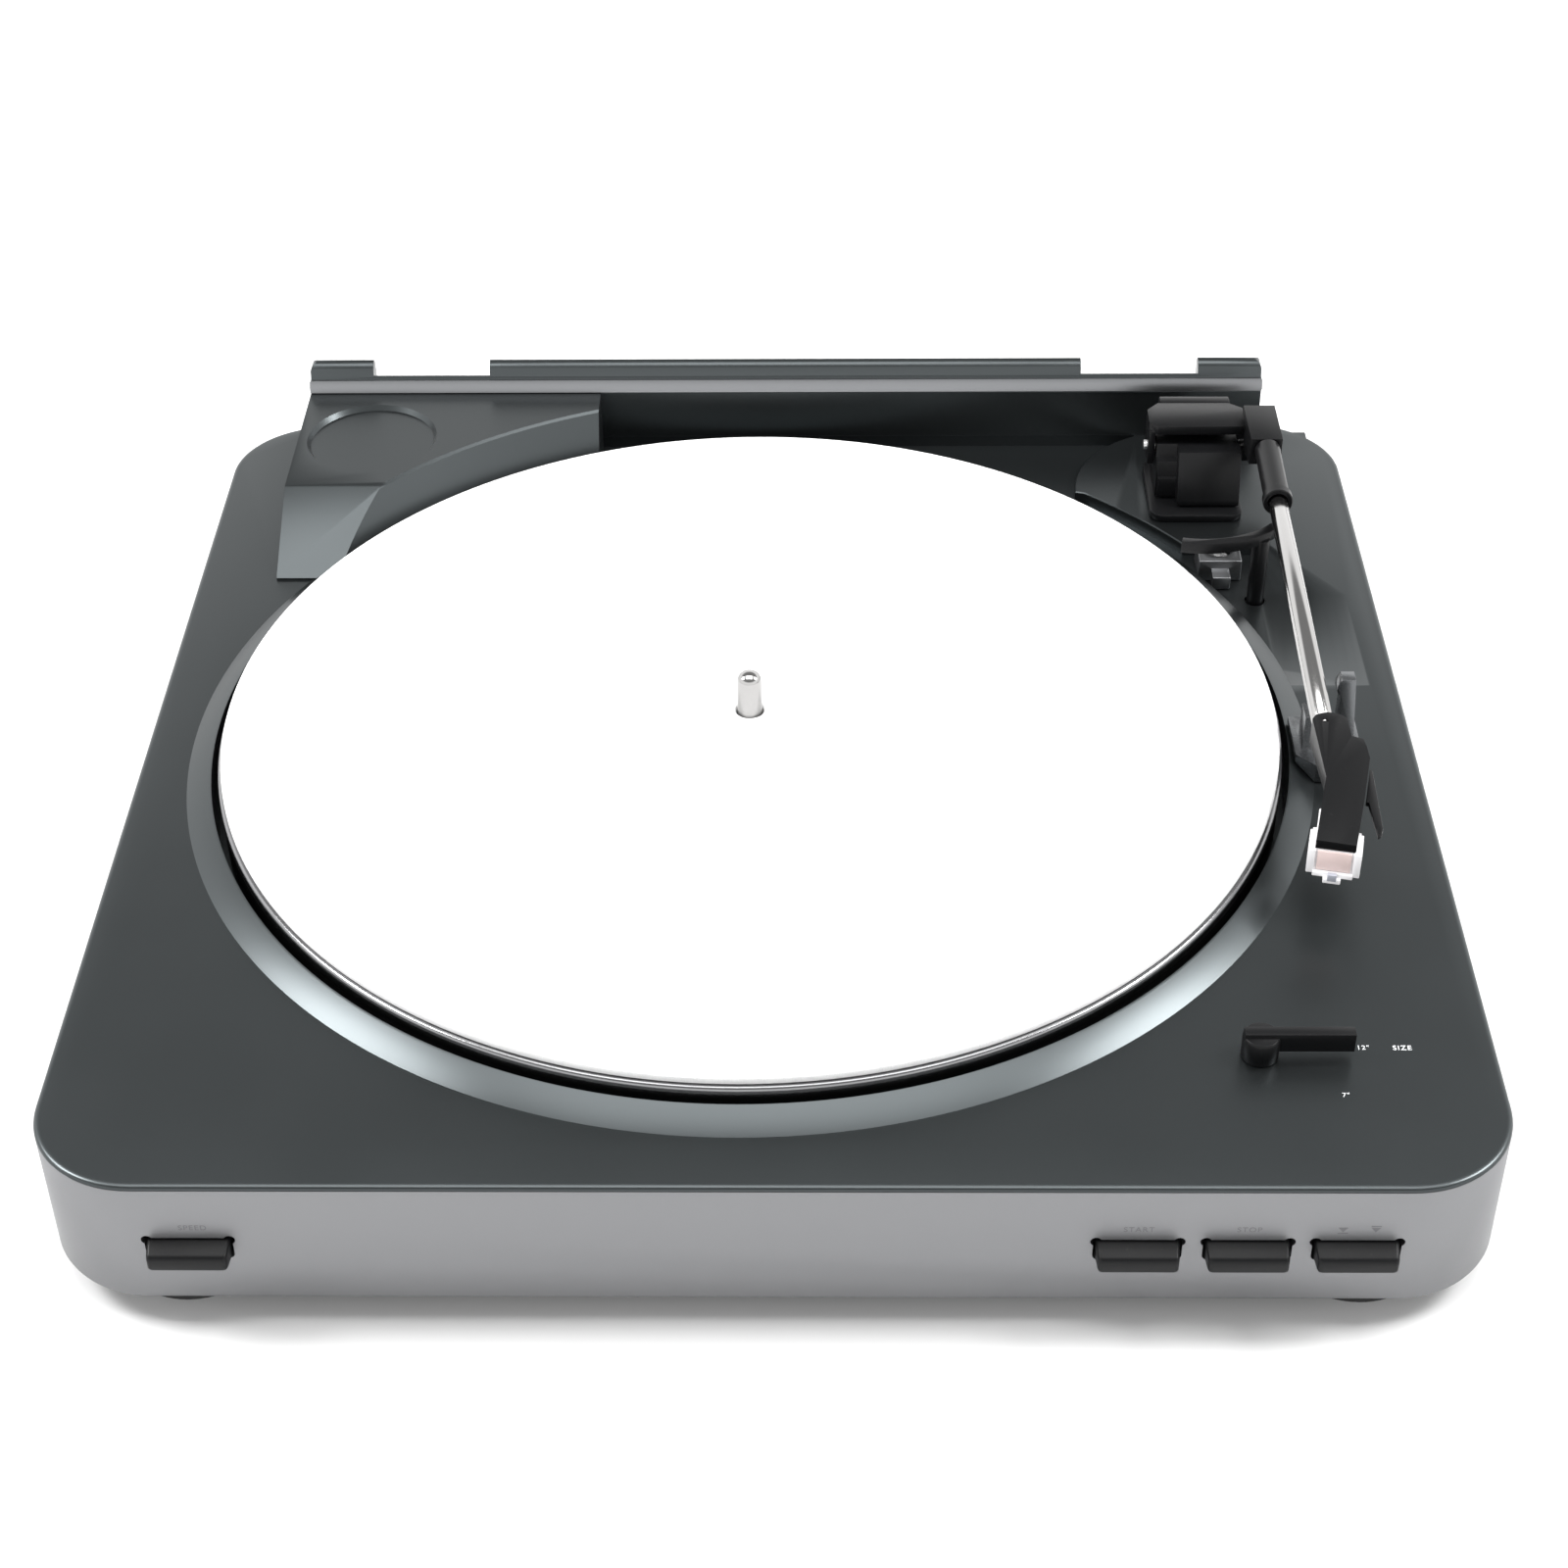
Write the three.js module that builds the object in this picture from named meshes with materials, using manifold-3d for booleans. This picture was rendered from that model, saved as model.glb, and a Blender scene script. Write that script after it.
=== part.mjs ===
// A belt-driven automatic record player: a low cabinet with a satin deck, a round platter in a well,
// and a straight arm on the right. Millimetres, +Z up, standing on its feet at z = 0, buttons at -Y.
import * as THREE from "three";
import { mergeVertices } from "three/addons/utils/BufferGeometryUtils.js";
import Module from "manifold-3d";

const wasm = await Module();
wasm.setup();

// ---------------------------------------------------------------- driving dimensions

const cabinet = {
  width: 360,
  front: -173,
  back: 175,
  cornerRadius: 28,
  wall: 2.6,
  bottom: 8,
  floor: 2.6,
  deckTop: 47,
  coverEdge: 1.6,
};
const coverWall = 2.4;
const gap = 0.3;
const runningGap = 0.5;

const platterCentre = new THREE.Vector2(-8, 2.7);
const platter = { radius: 149.5, top: 54, web: 3.5, skirt: 38, rim: 4, hubRadius: 12, ringRadius: 57.5, ringWall: 3 };
const mat = { inset: 1.1, top: 57 };
const well = { clearance: 2.1, floor: 33, ringWidth: 7.3, lip: 51 };
const recess = { floor: 43, lipWidth: 14.4 };
const wellRadius = platter.radius + well.clearance;
const ringRadius = wellRadius + well.ringWidth;
const recessRadius = wellRadius + recess.lipWidth;
const spindle = { radius: 3.55, top: 70 };

const rail = {
  halfWidth: cabinet.width / 2 - 24,
  front: cabinet.back - 6,
  back: cabinet.back + 3,
  stripLow: 64,
  stripHigh: 66.4,
  top: 71.5,
  foot: 50,
};
const pocket = {
  inner: rail.halfWidth - 59,
  outer: rail.halfWidth - 20.7,
  front: cabinet.back - 2.4,
  floor: 53,
  lip: 67.4,
};
const plateau = { left: -rail.halfWidth, right: -60.5, front: 83, crest: 112, top: 63 };
const plateauCone = {
  x: platterCentre.x + 5.5,
  y: platterCentre.y + 1.5,
  footRadius: wellRadius + 3.4,
  topRadius: wellRadius + 12.4,
};
const adapterDish = { x: -132.3, y: 140.5, radius: 20.7, depth: 1.5 };

const footing = {
  radius: 20,
  height: 8,
  x: cabinet.width / 2 - 34.5,
  front: cabinet.front + 26.4,
  back: cabinet.back - 27.4,
};

const button = { width: 20.4, height: 6, z: 26.2, reach: 5, root: 12, travel: 3, front: 4.2, corner: 1.6 };
const buttonPlaces = { speed: -140, start: 88.2, stop: 114.5, lift: 140.6 };

const lever = { x: 121, y: -127.4, hubRadius: 4.7, length: 23, width: 3.1, top: 55.2, barHeight: 5.6, back: 4.3 };

const armAxis = new THREE.Vector3(131.5, 134.5, 63.5);
const arm = { tubeRadius: 2.9, tubeHeight: 73.4, offset: 19.2, yaw: 1, reach: 160, offsetAngle: 12 };
const turret = { left: 118, right: 144, front: 123.5, back: 142, floor: 50.2, top: 67 };
const shaft = { radius: 1.5, bore: 2 };
const yoke = { top: 73.6, clear: 1.4, left: 115.4, right: 155, blockTop: 76.8 };
const platform = { radius: 38, front: 102 };
const channel = { right: 164, front: 27.4, foot: 41.3, blendLeft: 146, blendRight: 172 };
const lifter = {
  x: 127.5,
  y: 101.5,
  radius: 30,
  from: -104,
  to: -44,
  postAngle: -55,
  top: arm.tubeHeight - arm.tubeRadius - 2.5,
  height: 3.4,
  width: 3,
  post: 2.6,
};
const armRest = {
  left: 144.4,
  right: 163,
  back: 4,
  front: -18.4,
  top: 53.2,
  chamfer: 5,
  lowPost: 64.6,
  saddle: arm.tubeHeight - arm.tubeRadius - 0.4,
  highPost: 74,
};

const motor = { x: -70, y: 62, radius: 17, height: 15, shaft: 1, pulley: 5.6 };
const beltLevel = { low: 40.5, high: 43.5, thickness: 0.9 };
const camWheel = { radius: 34, thickness: 2, teeth: 40, tooth: 1.8, bearing: 42 };
const hubGear = { radius: 10.5, thickness: 2.6 };
const spindleBush = { radius: 6, flange: 9 };
const armPost = { radius: 6, bore: 3.6 };
const leverShaft = { radius: 2.4 };
const camPin = { radius: 2 };

const rearPlaces = { power: -130, audio: 118, selector: 80 };
const gland = { radius: 6.5, collar: 8.5, bore: 2.4, z: 22, length: 2.6 };
const selector = { width: 13, height: 6, z: 22, knob: 4, travel: 4 };
const head = { length: 48.7, side: 2.9, back: 77, front: 71.3, low: 68.8, socket: 3 };
const cartridge = { width: 13.8, body: 10.6, depth: 17, ears: 8, height: 8 };
const catchAt = { x: 135, y: 95.5 };
const screw = { radius: 1.5, head: 1.6, headRadius: 3.2, length: 9, x: 110, front: -150, back: 150 };
const board = { left: 60, right: 130, front: 91, back: 145 };
const core = { left: -150, right: -108, front: 108, back: 136, height: 18 };

// ---------------------------------------------------------------- finishes

function finish(color, roughness, metalness = 0) {
  return new THREE.MeshStandardMaterial({ color, roughness, metalness });
}

const finishes = {
  deck: finish(0x4a4f52, 0.38, 0.5),
  silver: finish(0xa2a5a9, 0.42, 0.5),
  black: finish(0x141617, 0.45),
  chrome: finish(0xd8d8da, 0.12, 1),
  felt: finish(0xf2f2f0, 0.95),
  rubber: finish(0x1c1c1c, 0.85),
  cast: finish(0xb4b6b8, 0.35, 1),
  steel: finish(0x9a9c9e, 0.3, 1),
  brass: finish(0xc49a4a, 0.3, 1),
  nylon: finish(0xe8e4d8, 0.5),
  board: finish(0x1f5a35, 0.6),
  clear: finish(0xe6e6e8, 0.25),
};

// ---------------------------------------------------------------- solids

// A closed geometry as a solid, turned right side out where its outline ran the other way.
function solid(geometry) {
  const bare = geometry.index ? geometry.toNonIndexed() : geometry.clone();
  bare.deleteAttribute("normal");
  bare.deleteAttribute("uv");
  const merged = mergeVertices(bare, 1e-4);
  const source = merged.index.array;
  const kept = [];
  for (let i = 0; i < source.length; i += 3) {
    const [a, b, c] = [source[i], source[i + 1], source[i + 2]];
    if (a !== b && b !== c && c !== a) kept.push(a, b, c);
  }
  const points = merged.attributes.position.array;
  if (signedVolume(points, kept) < 0) kept.reverse();
  return new wasm.Manifold(
    new wasm.Mesh({ numProp: 3, vertProperties: points, triVerts: new Uint32Array(kept) }),
  );
}

function signedVolume(points, triangles) {
  const corner = (i) => new THREE.Vector3().fromArray(points, 3 * triangles[i]);
  let six = 0;
  for (let i = 0; i < triangles.length; i += 3) {
    six += corner(i).dot(corner(i + 1).cross(corner(i + 2)));
  }
  return six;
}

function joined(...solids) {
  return solids.reduce((sum, next) => sum.add(next));
}

function cutBy(body, ...tools) {
  return tools.reduce((rest, tool) => rest.subtract(tool), body);
}

function piece(name, material, body) {
  const mesh = body.getMesh();
  const geometry = new THREE.BufferGeometry();
  geometry.setAttribute("position", new THREE.BufferAttribute(new Float32Array(mesh.vertProperties), 3));
  geometry.setIndex(new THREE.BufferAttribute(new Uint32Array(mesh.triVerts), 1));
  geometry.computeVertexNormals();
  const made = new THREE.Mesh(geometry, material);
  made.name = name;
  return made;
}

// A box given by its low and high corners.
function block([x0, y0, z0], [x1, y1, z1]) {
  const box = new THREE.BoxGeometry(x1 - x0, y1 - y0, z1 - z0);
  return solid(box.translate((x0 + x1) / 2, (y0 + y1) / 2, (z0 + z1) / 2));
}

// An upright cylinder, or a cone where the two radii differ.
function post(x, y, z0, z1, radius, segments = 24, topRadius = radius) {
  const cylinder = new THREE.CylinderGeometry(topRadius, radius, z1 - z0, segments);
  return solid(cylinder.rotateX(Math.PI / 2).translate(x, y, (z0 + z1) / 2));
}

// A cylinder lying along X, or along Y.
function barX(x0, x1, y, z, radius, segments = 20) {
  const cylinder = new THREE.CylinderGeometry(radius, radius, x1 - x0, segments);
  return solid(cylinder.rotateZ(Math.PI / 2).translate((x0 + x1) / 2, y, z));
}

function barY(y0, y1, x, z, radius, segments = 20) {
  const cylinder = new THREE.CylinderGeometry(radius, radius, y1 - y0, segments);
  return solid(cylinder.translate(x, (y0 + y1) / 2, z));
}

// An outline of [radius, z] corners turned about an upright axis through x, y.
function turned(x, y, outline, segments) {
  const profile = outline.map(([r, z]) => new THREE.Vector2(r, z));
  return solid(new THREE.LatheGeometry(profile, segments).rotateX(Math.PI / 2).translate(x, y, 0));
}

// A flat outline pushed up from z0 to z1.
function slab(shape, z0, z1, curveSegments = 8) {
  const options = { depth: z1 - z0, bevelEnabled: false, curveSegments };
  return solid(new THREE.ExtrudeGeometry(shape, options).translate(0, 0, z0));
}

function polygon(corners) {
  return new THREE.Shape(corners.map(([x, y]) => new THREE.Vector2(x, y)));
}

// An outline of [y, z] corners pushed along X.
function prismX(corners, x0, x1) {
  const options = { depth: x1 - x0, bevelEnabled: false };
  const along = new THREE.Matrix4().makeBasis(
    new THREE.Vector3(0, 1, 0),
    new THREE.Vector3(0, 0, 1),
    new THREE.Vector3(1, 0, 0),
  );
  return solid(new THREE.ExtrudeGeometry(polygon(corners), options).applyMatrix4(along).translate(x0, 0, 0));
}

// A rectangle with round corners, from its low to its high corner.
function roundedOutline(x0, y0, x1, y1, radius) {
  const shape = new THREE.Shape();
  shape.moveTo(x0 + radius, y0);
  shape.lineTo(x1 - radius, y0);
  shape.absarc(x1 - radius, y0 + radius, radius, -Math.PI / 2, 0, false);
  shape.lineTo(x1, y1 - radius);
  shape.absarc(x1 - radius, y1 - radius, radius, 0, Math.PI / 2, false);
  shape.lineTo(x0 + radius, y1);
  shape.absarc(x0 + radius, y1 - radius, radius, Math.PI / 2, Math.PI, false);
  shape.lineTo(x0, y0 + radius);
  shape.absarc(x0 + radius, y0 + radius, radius, Math.PI, 1.5 * Math.PI, false);
  return shape;
}

function cabinetOutline(inset) {
  const half = cabinet.width / 2 - inset;
  return roundedOutline(-half, cabinet.front + inset, half, cabinet.back - inset, cabinet.cornerRadius - inset);
}

// ---------------------------------------------------------------- cabinet

const deckUnder = cabinet.deckTop - coverWall;
const high = 100;
const round = 72;

// Everything under the deck's upper surface, drawn in by an inset: the cover is this less itself drawn in.
function deckBody(inset) {
  const low = well.floor - coverWall - inset;
  const top = cabinet.deckTop - inset;
  const main = slab(cabinetOutline(inset + cabinet.wall + gap), low, top);
  const raised = prismX(
    [
      [plateau.front + inset, low],
      [plateau.front + inset, top],
      [plateau.crest + inset / 2, plateau.top - inset],
      [rail.front + 2 - inset, plateau.top - inset],
      [rail.front + 2 - inset, low],
    ],
    plateau.left + inset,
    plateau.right - inset,
  );
  const ring = turned(
    platterCentre.x,
    platterCentre.y,
    [
      [wellRadius - 5, low],
      [ringRadius - inset, low],
      [ringRadius - inset, top],
      [wellRadius + inset / 3, well.lip - inset],
      [wellRadius - 5, well.lip - inset],
      [wellRadius - 5, low],
    ],
    round,
  );
  const cone = post(
    plateauCone.x,
    plateauCone.y,
    cabinet.deckTop - inset,
    plateau.top - inset + 1,
    plateauCone.footRadius + inset,
    round,
    plateauCone.topRadius + inset + 0.6,
  );
  const shaped = joined(cutBy(joined(main, raised), cone, recessCut(inset)), ring);
  return cutBy(shaped, post(platterCentre.x, platterCentre.y, well.floor - inset, high, wellRadius + inset, round));
}

// The raised rail along the back, with the two sockets the dust cover's hinges plug into.
function railBody(low) {
  const inner = cabinet.back - cabinet.wall - gap;
  const section = [
    [rail.front - 1.5, low],
    [rail.front, rail.stripLow],
    [rail.front + 2.1, rail.stripHigh],
    [rail.front + 3.5, rail.top - 1.5],
    [rail.front + 5, rail.top],
    [rail.back - 3, rail.top],
    [rail.back - 1, rail.top - 1.2],
    [rail.back, rail.top - 3],
    [rail.back, rail.foot],
    [inner, rail.foot - 3],
    [inner, low],
  ];
  const beam = prismX(section, -rail.halfWidth, rail.halfWidth);
  const sockets = [pocket.inner, -pocket.outer].flatMap((x) => {
    const end = x + pocket.outer - pocket.inner;
    return [
      block([x, pocket.front, pocket.floor], [end, rail.back + 5, high]),
      block([x, rail.front - 1, pocket.lip], [end, rail.back + 5, high]),
    ];
  });
  return cutBy(beam, ...sockets);
}

// The sunk floor behind the platter and beside the arm: it leaves the arm's round platform standing.
function recessCut(inset) {
  const floor = recess.floor - inset;
  const behind = block(
    [plateau.right - 20, 60, floor],
    [channel.right + inset, rail.front - 1.5 + inset, high],
  );
  const beside = prismX(
    [
      [channel.front, cabinet.deckTop - inset],
      [channel.foot, floor],
      [70, floor],
      [70, high],
      [channel.front, high],
    ],
    100,
    channel.blendRight + inset,
  ).intersect(rightBlend(inset));
  const stand = joined(
    cutBy(
      post(armAxis.x, armAxis.y - 2, floor - 1, high, platform.radius - inset, 48),
      block([0, 0, 0], [200, platform.front + inset, high + 5]),
    ),
    block([armAxis.x, platform.front + inset, floor - 1], [channel.right + 20, rail.front + 5, high]),
    block([armAxis.x - 25, platform.front + inset, floor - 1], [armAxis.x + 1, armAxis.y, high]),
  );
  const lipCut = post(platterCentre.x, platterCentre.y, floor, high, recessRadius + inset, round);
  const keep = cutBy(stand, lipCut);
  const leftPlateau = block([plateau.left - 5, 0, floor - 1], [plateau.right - inset, 200, high]);
  return cutBy(joined(behind, beside), keep, leftPlateau);
}

// The channel's right side: a long gentle rise back to the deck.
function rightBlend(inset) {
  const top = cabinet.deckTop - inset;
  const floor = recess.floor - inset;
  const section = [
    [90, floor],
    [channel.blendLeft, floor],
    [channel.blendRight, top],
    [channel.blendRight, high],
    [90, high],
  ];
  const options = { depth: 200, bevelEnabled: false };
  const along = new THREE.ExtrudeGeometry(polygon(section), options).rotateX(Math.PI / 2);
  return solid(along.translate(0, 180, 0));
}

function topCover() {
  const plate = slab(cabinetOutline(0), cabinet.deckTop - cabinet.coverEdge, cabinet.deckTop);
  const plateCut = joined(
    recessCut(0),
    post(platterCentre.x, platterCentre.y, 0, high, wellRadius, round),
  );
  const shell = joined(cutBy(deckBody(0), deckBody(coverWall)), railBody(cabinet.deckTop - cabinet.coverEdge));
  const holes = [
    post(platterCentre.x, platterCentre.y, 0, high, spindleBush.radius + gap),
    post(motor.x, motor.y, 0, high, motor.pulley + 1.5),
    post(armAxis.x, armAxis.y, 0, high, armPost.radius + gap),
    post(lever.x, lever.y, 0, high, leverShaft.radius + runningGap),
    post(...lifterPostPlace(), 0, high, lifter.post + runningGap),
    post(...camWheelPlace(), 0, high, camPin.radius + gap),
    post(adapterDish.x, adapterDish.y, plateau.top - adapterDish.depth, high, adapterDish.radius, 48),
  ];
  return cutBy(joined(shell, cutBy(plate, plateCut, deckBody(coverWall))), ...holes);
}

function lifterPostPlace() {
  const angle = THREE.MathUtils.degToRad(lifter.postAngle);
  return [lifter.x + lifter.radius * Math.cos(angle), lifter.y + lifter.radius * Math.sin(angle)];
}

function camWheelPlace() {
  const angle = THREE.MathUtils.degToRad(camWheel.bearing);
  const distance = hubGear.radius + camWheel.radius + 1.5;
  return [platterCentre.x + distance * Math.cos(angle), platterCentre.y + distance * Math.sin(angle)];
}

// The silver band round the sides, open above and below, with a slot for each button and each rear fitting.
function cabinetWall() {
  const top = cabinet.deckTop - cabinet.coverEdge - gap;
  const band = cutBy(
    slab(cabinetOutline(0), cabinet.bottom, top),
    slab(cabinetOutline(cabinet.wall), cabinet.bottom - 1, top + 1),
  );
  const slots = Object.values(buttonPlaces).map((x) => buttonBlank(x, -5, cabinet.wall + 5, runningGap));
  return cutBy(band, ...slots, ...rearHoles());
}

function bottomPlate() {
  const plate = slab(cabinetOutline(cabinet.wall + gap), cabinet.bottom, cabinet.bottom + cabinet.floor);
  const screwHoles = screwPlaces().map(([x, y]) => post(x, y, 0, high, screw.radius + gap, 16));
  return cutBy(plate, ...screwHoles);
}

function screwPlaces() {
  return [-1, 1].flatMap((sx) => [screw.front, screw.back].map((y) => [sx * screw.x, y]));
}

// A pan-head screw that holds the bottom plate, with its head let in under the plate.
function coverScrew(x, y) {
  const seat = cabinet.bottom;
  return joined(
    post(x, y, seat - screw.head - gap, seat - gap, screw.headRadius, 20),
    post(x, y, seat - gap - 0.1, seat + screw.length, screw.radius, 16),
  );
}

function foot(x, y) {
  const body = turned(
    x,
    y,
    [
      [0, 0],
      [footing.radius - 1.5, 0],
      [footing.radius, 1.5],
      [footing.radius, footing.height - gap],
      [0, footing.height - gap],
    ],
    40,
  );
  return body;
}

// The bright strip along the rail's front edge.
function railTrim() {
  const section = [
    [rail.front - gap - 0.2, rail.stripLow],
    [rail.front - 1.2, rail.stripLow - 0.2],
    [rail.front - 1.2, rail.stripLow + 0.6],
    [rail.front + 1.9 - gap, rail.stripHigh + 0.5],
    [rail.front + 1.9 - gap, rail.stripHigh + 0.1],
  ];
  return prismX(section, -rail.halfWidth - 0.3, rail.halfWidth + 0.3);
}

// ---------------------------------------------------------------- rear fittings

function rearHoles() {
  const y0 = cabinet.back - cabinet.wall - 1;
  const y1 = cabinet.back + 1;
  const slot = block(
    [rearPlaces.selector - selector.width / 2, y0, selector.z - selector.height / 2],
    [rearPlaces.selector + selector.width / 2, y1, selector.z + selector.height / 2],
  );
  return [
    barY(y0, y1, rearPlaces.power, gland.z, gland.radius + gap),
    barY(y0, y1, rearPlaces.audio, gland.z, gland.radius + gap),
    slot,
  ];
}

// A strain-relief bush in the back wall, bored for its lead.
function leadGland(x) {
  const back = cabinet.back;
  const body = joined(
    barY(back - cabinet.wall - 4, back + gap, x, gland.z, gland.radius, 24),
    barY(back + gap, back + gland.length, x, gland.z, gland.collar, 24),
  );
  return cutBy(body, barY(back - 20, back + 20, x, gland.z, gland.bore, 16));
}

// The line selector: a slide switch body behind the wall and its knob.
function selectorBody() {
  const inner = cabinet.back - cabinet.wall - gap;
  const half = selector.width / 2 + 2;
  return block(
    [rearPlaces.selector - half, inner - 8, selector.z - 5],
    [rearPlaces.selector + half, inner, selector.z + 5],
  );
}

function selectorKnob() {
  const left = rearPlaces.selector - selector.width / 2 + 1.5;
  return block(
    [left, cabinet.back - cabinet.wall + gap, selector.z - selector.height / 2 + runningGap],
    [left + selector.knob, cabinet.back + 1.2, selector.z + selector.height / 2 - runningGap],
  );
}

// ---------------------------------------------------------------- buttons and lever

// A round-cornered bar through the front wall, from y = wall + from to wall + to, grown by a clearance.
function buttonBlank(x, from, to, clear) {
  const shape = roundedOutline(
    x - button.width / 2 - clear,
    button.z - button.height / 2 - clear,
    x + button.width / 2 + clear,
    button.z + button.height / 2 + clear,
    button.corner,
  );
  const options = { depth: to - from, bevelEnabled: false, curveSegments: 4 };
  const bar = new THREE.ExtrudeGeometry(shape, options).rotateX(Math.PI / 2);
  return solid(bar.translate(0, cabinet.front + to, 0));
}

// A push button: it narrows towards its front face, and has a stop plate behind the wall.
function pushButton(x) {
  const nose = button.reach;
  const half = button.width / 2;
  const taper = [
    [x - half, 0],
    [x - half + 0.9, -nose + 0.8],
    [x - half + 1.6, -nose],
    [x + half - 1.6, -nose],
    [x + half - 0.9, -nose + 0.8],
    [x + half, 0],
    [x + half, button.root],
    [x - half, button.root],
  ].map(([px, py]) => [px, cabinet.front + py]);
  const plan = slab(polygon(taper), button.z - button.height / 2, button.z + button.height / 2);
  const side = prismX(
    [
      [cabinet.front - nose, button.z - button.height / 2 + 0.2],
      [cabinet.front - nose, button.z - button.height / 2 + button.front],
      [cabinet.front, button.z + button.height / 2],
      [cabinet.front + button.root, button.z + button.height / 2],
      [cabinet.front + button.root, button.z - button.height / 2],
      [cabinet.front, button.z - button.height / 2],
    ],
    x - half - 1,
    x + half + 1,
  );
  const stop = block(
    [x - half - 1.5, cabinet.front + cabinet.wall + gap, button.z - button.height / 2 - 1.5],
    [x + half + 1.5, cabinet.front + cabinet.wall + gap + 1.6, button.z + button.height / 2],
  );
  return joined(plan.intersect(side), stop);
}

// The record-size lever: a bar on a round hub that turns on the deck.
function sizeLever() {
  const deck = cabinet.deckTop;
  const bar = block(
    [lever.x - lever.back, lever.y - lever.width / 2, lever.top - lever.barHeight],
    [lever.x + lever.length, lever.y + lever.width / 2, lever.top],
  );
  const hub = post(lever.x, lever.y, deck + gap, lever.top - 1, lever.hubRadius, 28);
  const stem = post(lever.x, lever.y, deck - 8, deck + 1, leverShaft.radius, 20);
  return joined(bar, hub, stem);
}

// ---------------------------------------------------------------- platter and drive

function platterDisc() {
  const { x, y } = platterCentre;
  const under = platter.top - platter.web;
  return turned(
    x,
    y,
    [
      [spindle.radius + runningGap, platter.top],
      [spindle.radius + runningGap, platter.skirt - 1],
      [platter.hubRadius, platter.skirt - 1],
      [platter.hubRadius, under],
      [platter.ringRadius - platter.ringWall, under],
      [platter.ringRadius - platter.ringWall, platter.skirt],
      [platter.ringRadius, platter.skirt],
      [platter.ringRadius, under],
      [platter.radius - platter.rim, under],
      [platter.radius - platter.rim, platter.skirt],
      [platter.radius, platter.skirt],
      [platter.radius, platter.top - 1],
      [platter.radius - 1, platter.top],
      [spindle.radius + runningGap, platter.top],
    ],
    72,
  );
}

function feltMat() {
  const { x, y } = platterCentre;
  const low = platter.top + gap;
  const disc = post(x, y, low, mat.top, platter.radius - mat.inset, 72);
  return cutBy(disc, post(x, y, low - 1, mat.top + 1, spindle.radius + 0.35, 24));
}

function spindlePin() {
  const { x, y } = platterCentre;
  const r = spindle.radius;
  const dome = Array.from({ length: 5 }, (_, i) => {
    const a = ((4 - i) * Math.PI) / 8;
    return [r * Math.sin(a), spindle.top - r + r * Math.cos(a)];
  });
  const profile = [[0, well.floor - 12], [r, well.floor - 12], ...dome];
  profile[profile.length - 1][0] = 0;
  return turned(x, y, profile, 24);
}

// The flanged bush that holds the spindle in the cover.
function spindleBushing() {
  const { x, y } = platterCentre;
  const outer = joined(
    post(x, y, well.floor - 10, well.floor + gap + 0.1, spindleBush.radius),
    post(x, y, well.floor + gap, well.floor + 1, spindleBush.flange),
  );
  return cutBy(outer, post(x, y, 0, high, spindle.radius + gap));
}

function hubPinion() {
  const { x, y } = platterCentre;
  const top = platter.skirt - 1 - gap;
  const rim = post(x, y, top - hubGear.thickness, top, hubGear.radius, 32);
  return cutBy(rim, post(x, y, 0, high, spindle.radius + runningGap));
}

// The cam wheel that carries the arm in and out, with a gap in its teeth where it waits.
function camWheelDisc() {
  const [x, y] = camWheelPlace();
  const low = well.floor + gap;
  const outline = new THREE.Shape();
  for (let i = 0; i < camWheel.teeth; i += 1) {
    const angle = (2 * Math.PI * i) / camWheel.teeth;
    const missing = i < 4;
    [0, 0.35, 0.5, 0.85].forEach((part, k) => {
      const a = angle + (part * 2 * Math.PI) / camWheel.teeth;
      const r = camWheel.radius - (missing || k > 1 ? camWheel.tooth : 0);
      const [px, py] = [r * Math.cos(a), r * Math.sin(a)];
      if (i === 0 && k === 0) outline.moveTo(px, py);
      else outline.lineTo(px, py);
    });
  }
  outline.closePath();
  const turn = THREE.MathUtils.degToRad(camWheel.bearing + 180 - 12);
  const geometry = new THREE.ExtrudeGeometry(outline, { depth: camWheel.thickness, bevelEnabled: false });
  const disc = solid(geometry.rotateZ(turn).translate(x, y, low));
  return cutBy(disc, post(x, y, 0, high, camPin.radius + runningGap, 20));
}

function camWheelPin() {
  const [x, y] = camWheelPlace();
  const low = well.floor - 6;
  const capLow = well.floor + gap + camWheel.thickness + gap;
  return joined(post(x, y, low, capLow + 0.2, camPin.radius, 20), post(x, y, capLow, capLow + 1, 4, 20));
}

function motorBody() {
  const top = well.floor - coverWall - gap - motor.shaft;
  return joined(
    post(motor.x, motor.y, top - motor.height, top, motor.radius, 32),
    post(motor.x, motor.y, top - 0.1, top + motor.shaft - gap, 4, 20),
  );
}

function motorPulley() {
  const { x, y, pulley } = motor;
  const crown = (beltLevel.low + beltLevel.high) / 2;
  return turned(
    x,
    y,
    [
      [0, well.floor - coverWall],
      [1.5, well.floor - coverWall],
      [1.5, well.floor + 1],
      [pulley + 1, well.floor + 1],
      [pulley + 1, beltLevel.low - 1],
      [pulley - 0.6, beltLevel.low - 0.5],
      [pulley, crown],
      [pulley - 0.6, beltLevel.high + 0.5],
      [pulley + 1, beltLevel.high + 1],
      [pulley + 1, beltLevel.high + 2.4],
      [0, beltLevel.high + 2.4],
    ],
    28,
  );
}

// The flat belt round the motor pulley and the platter's drive ring.
function driveBelt() {
  const inner = beltLoop(gap);
  const outer = beltLoop(gap + beltLevel.thickness);
  return cutBy(slab(outer, beltLevel.low, beltLevel.high, 24), slab(inner, beltLevel.low - 1, beltLevel.high + 1, 24));
}

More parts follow.
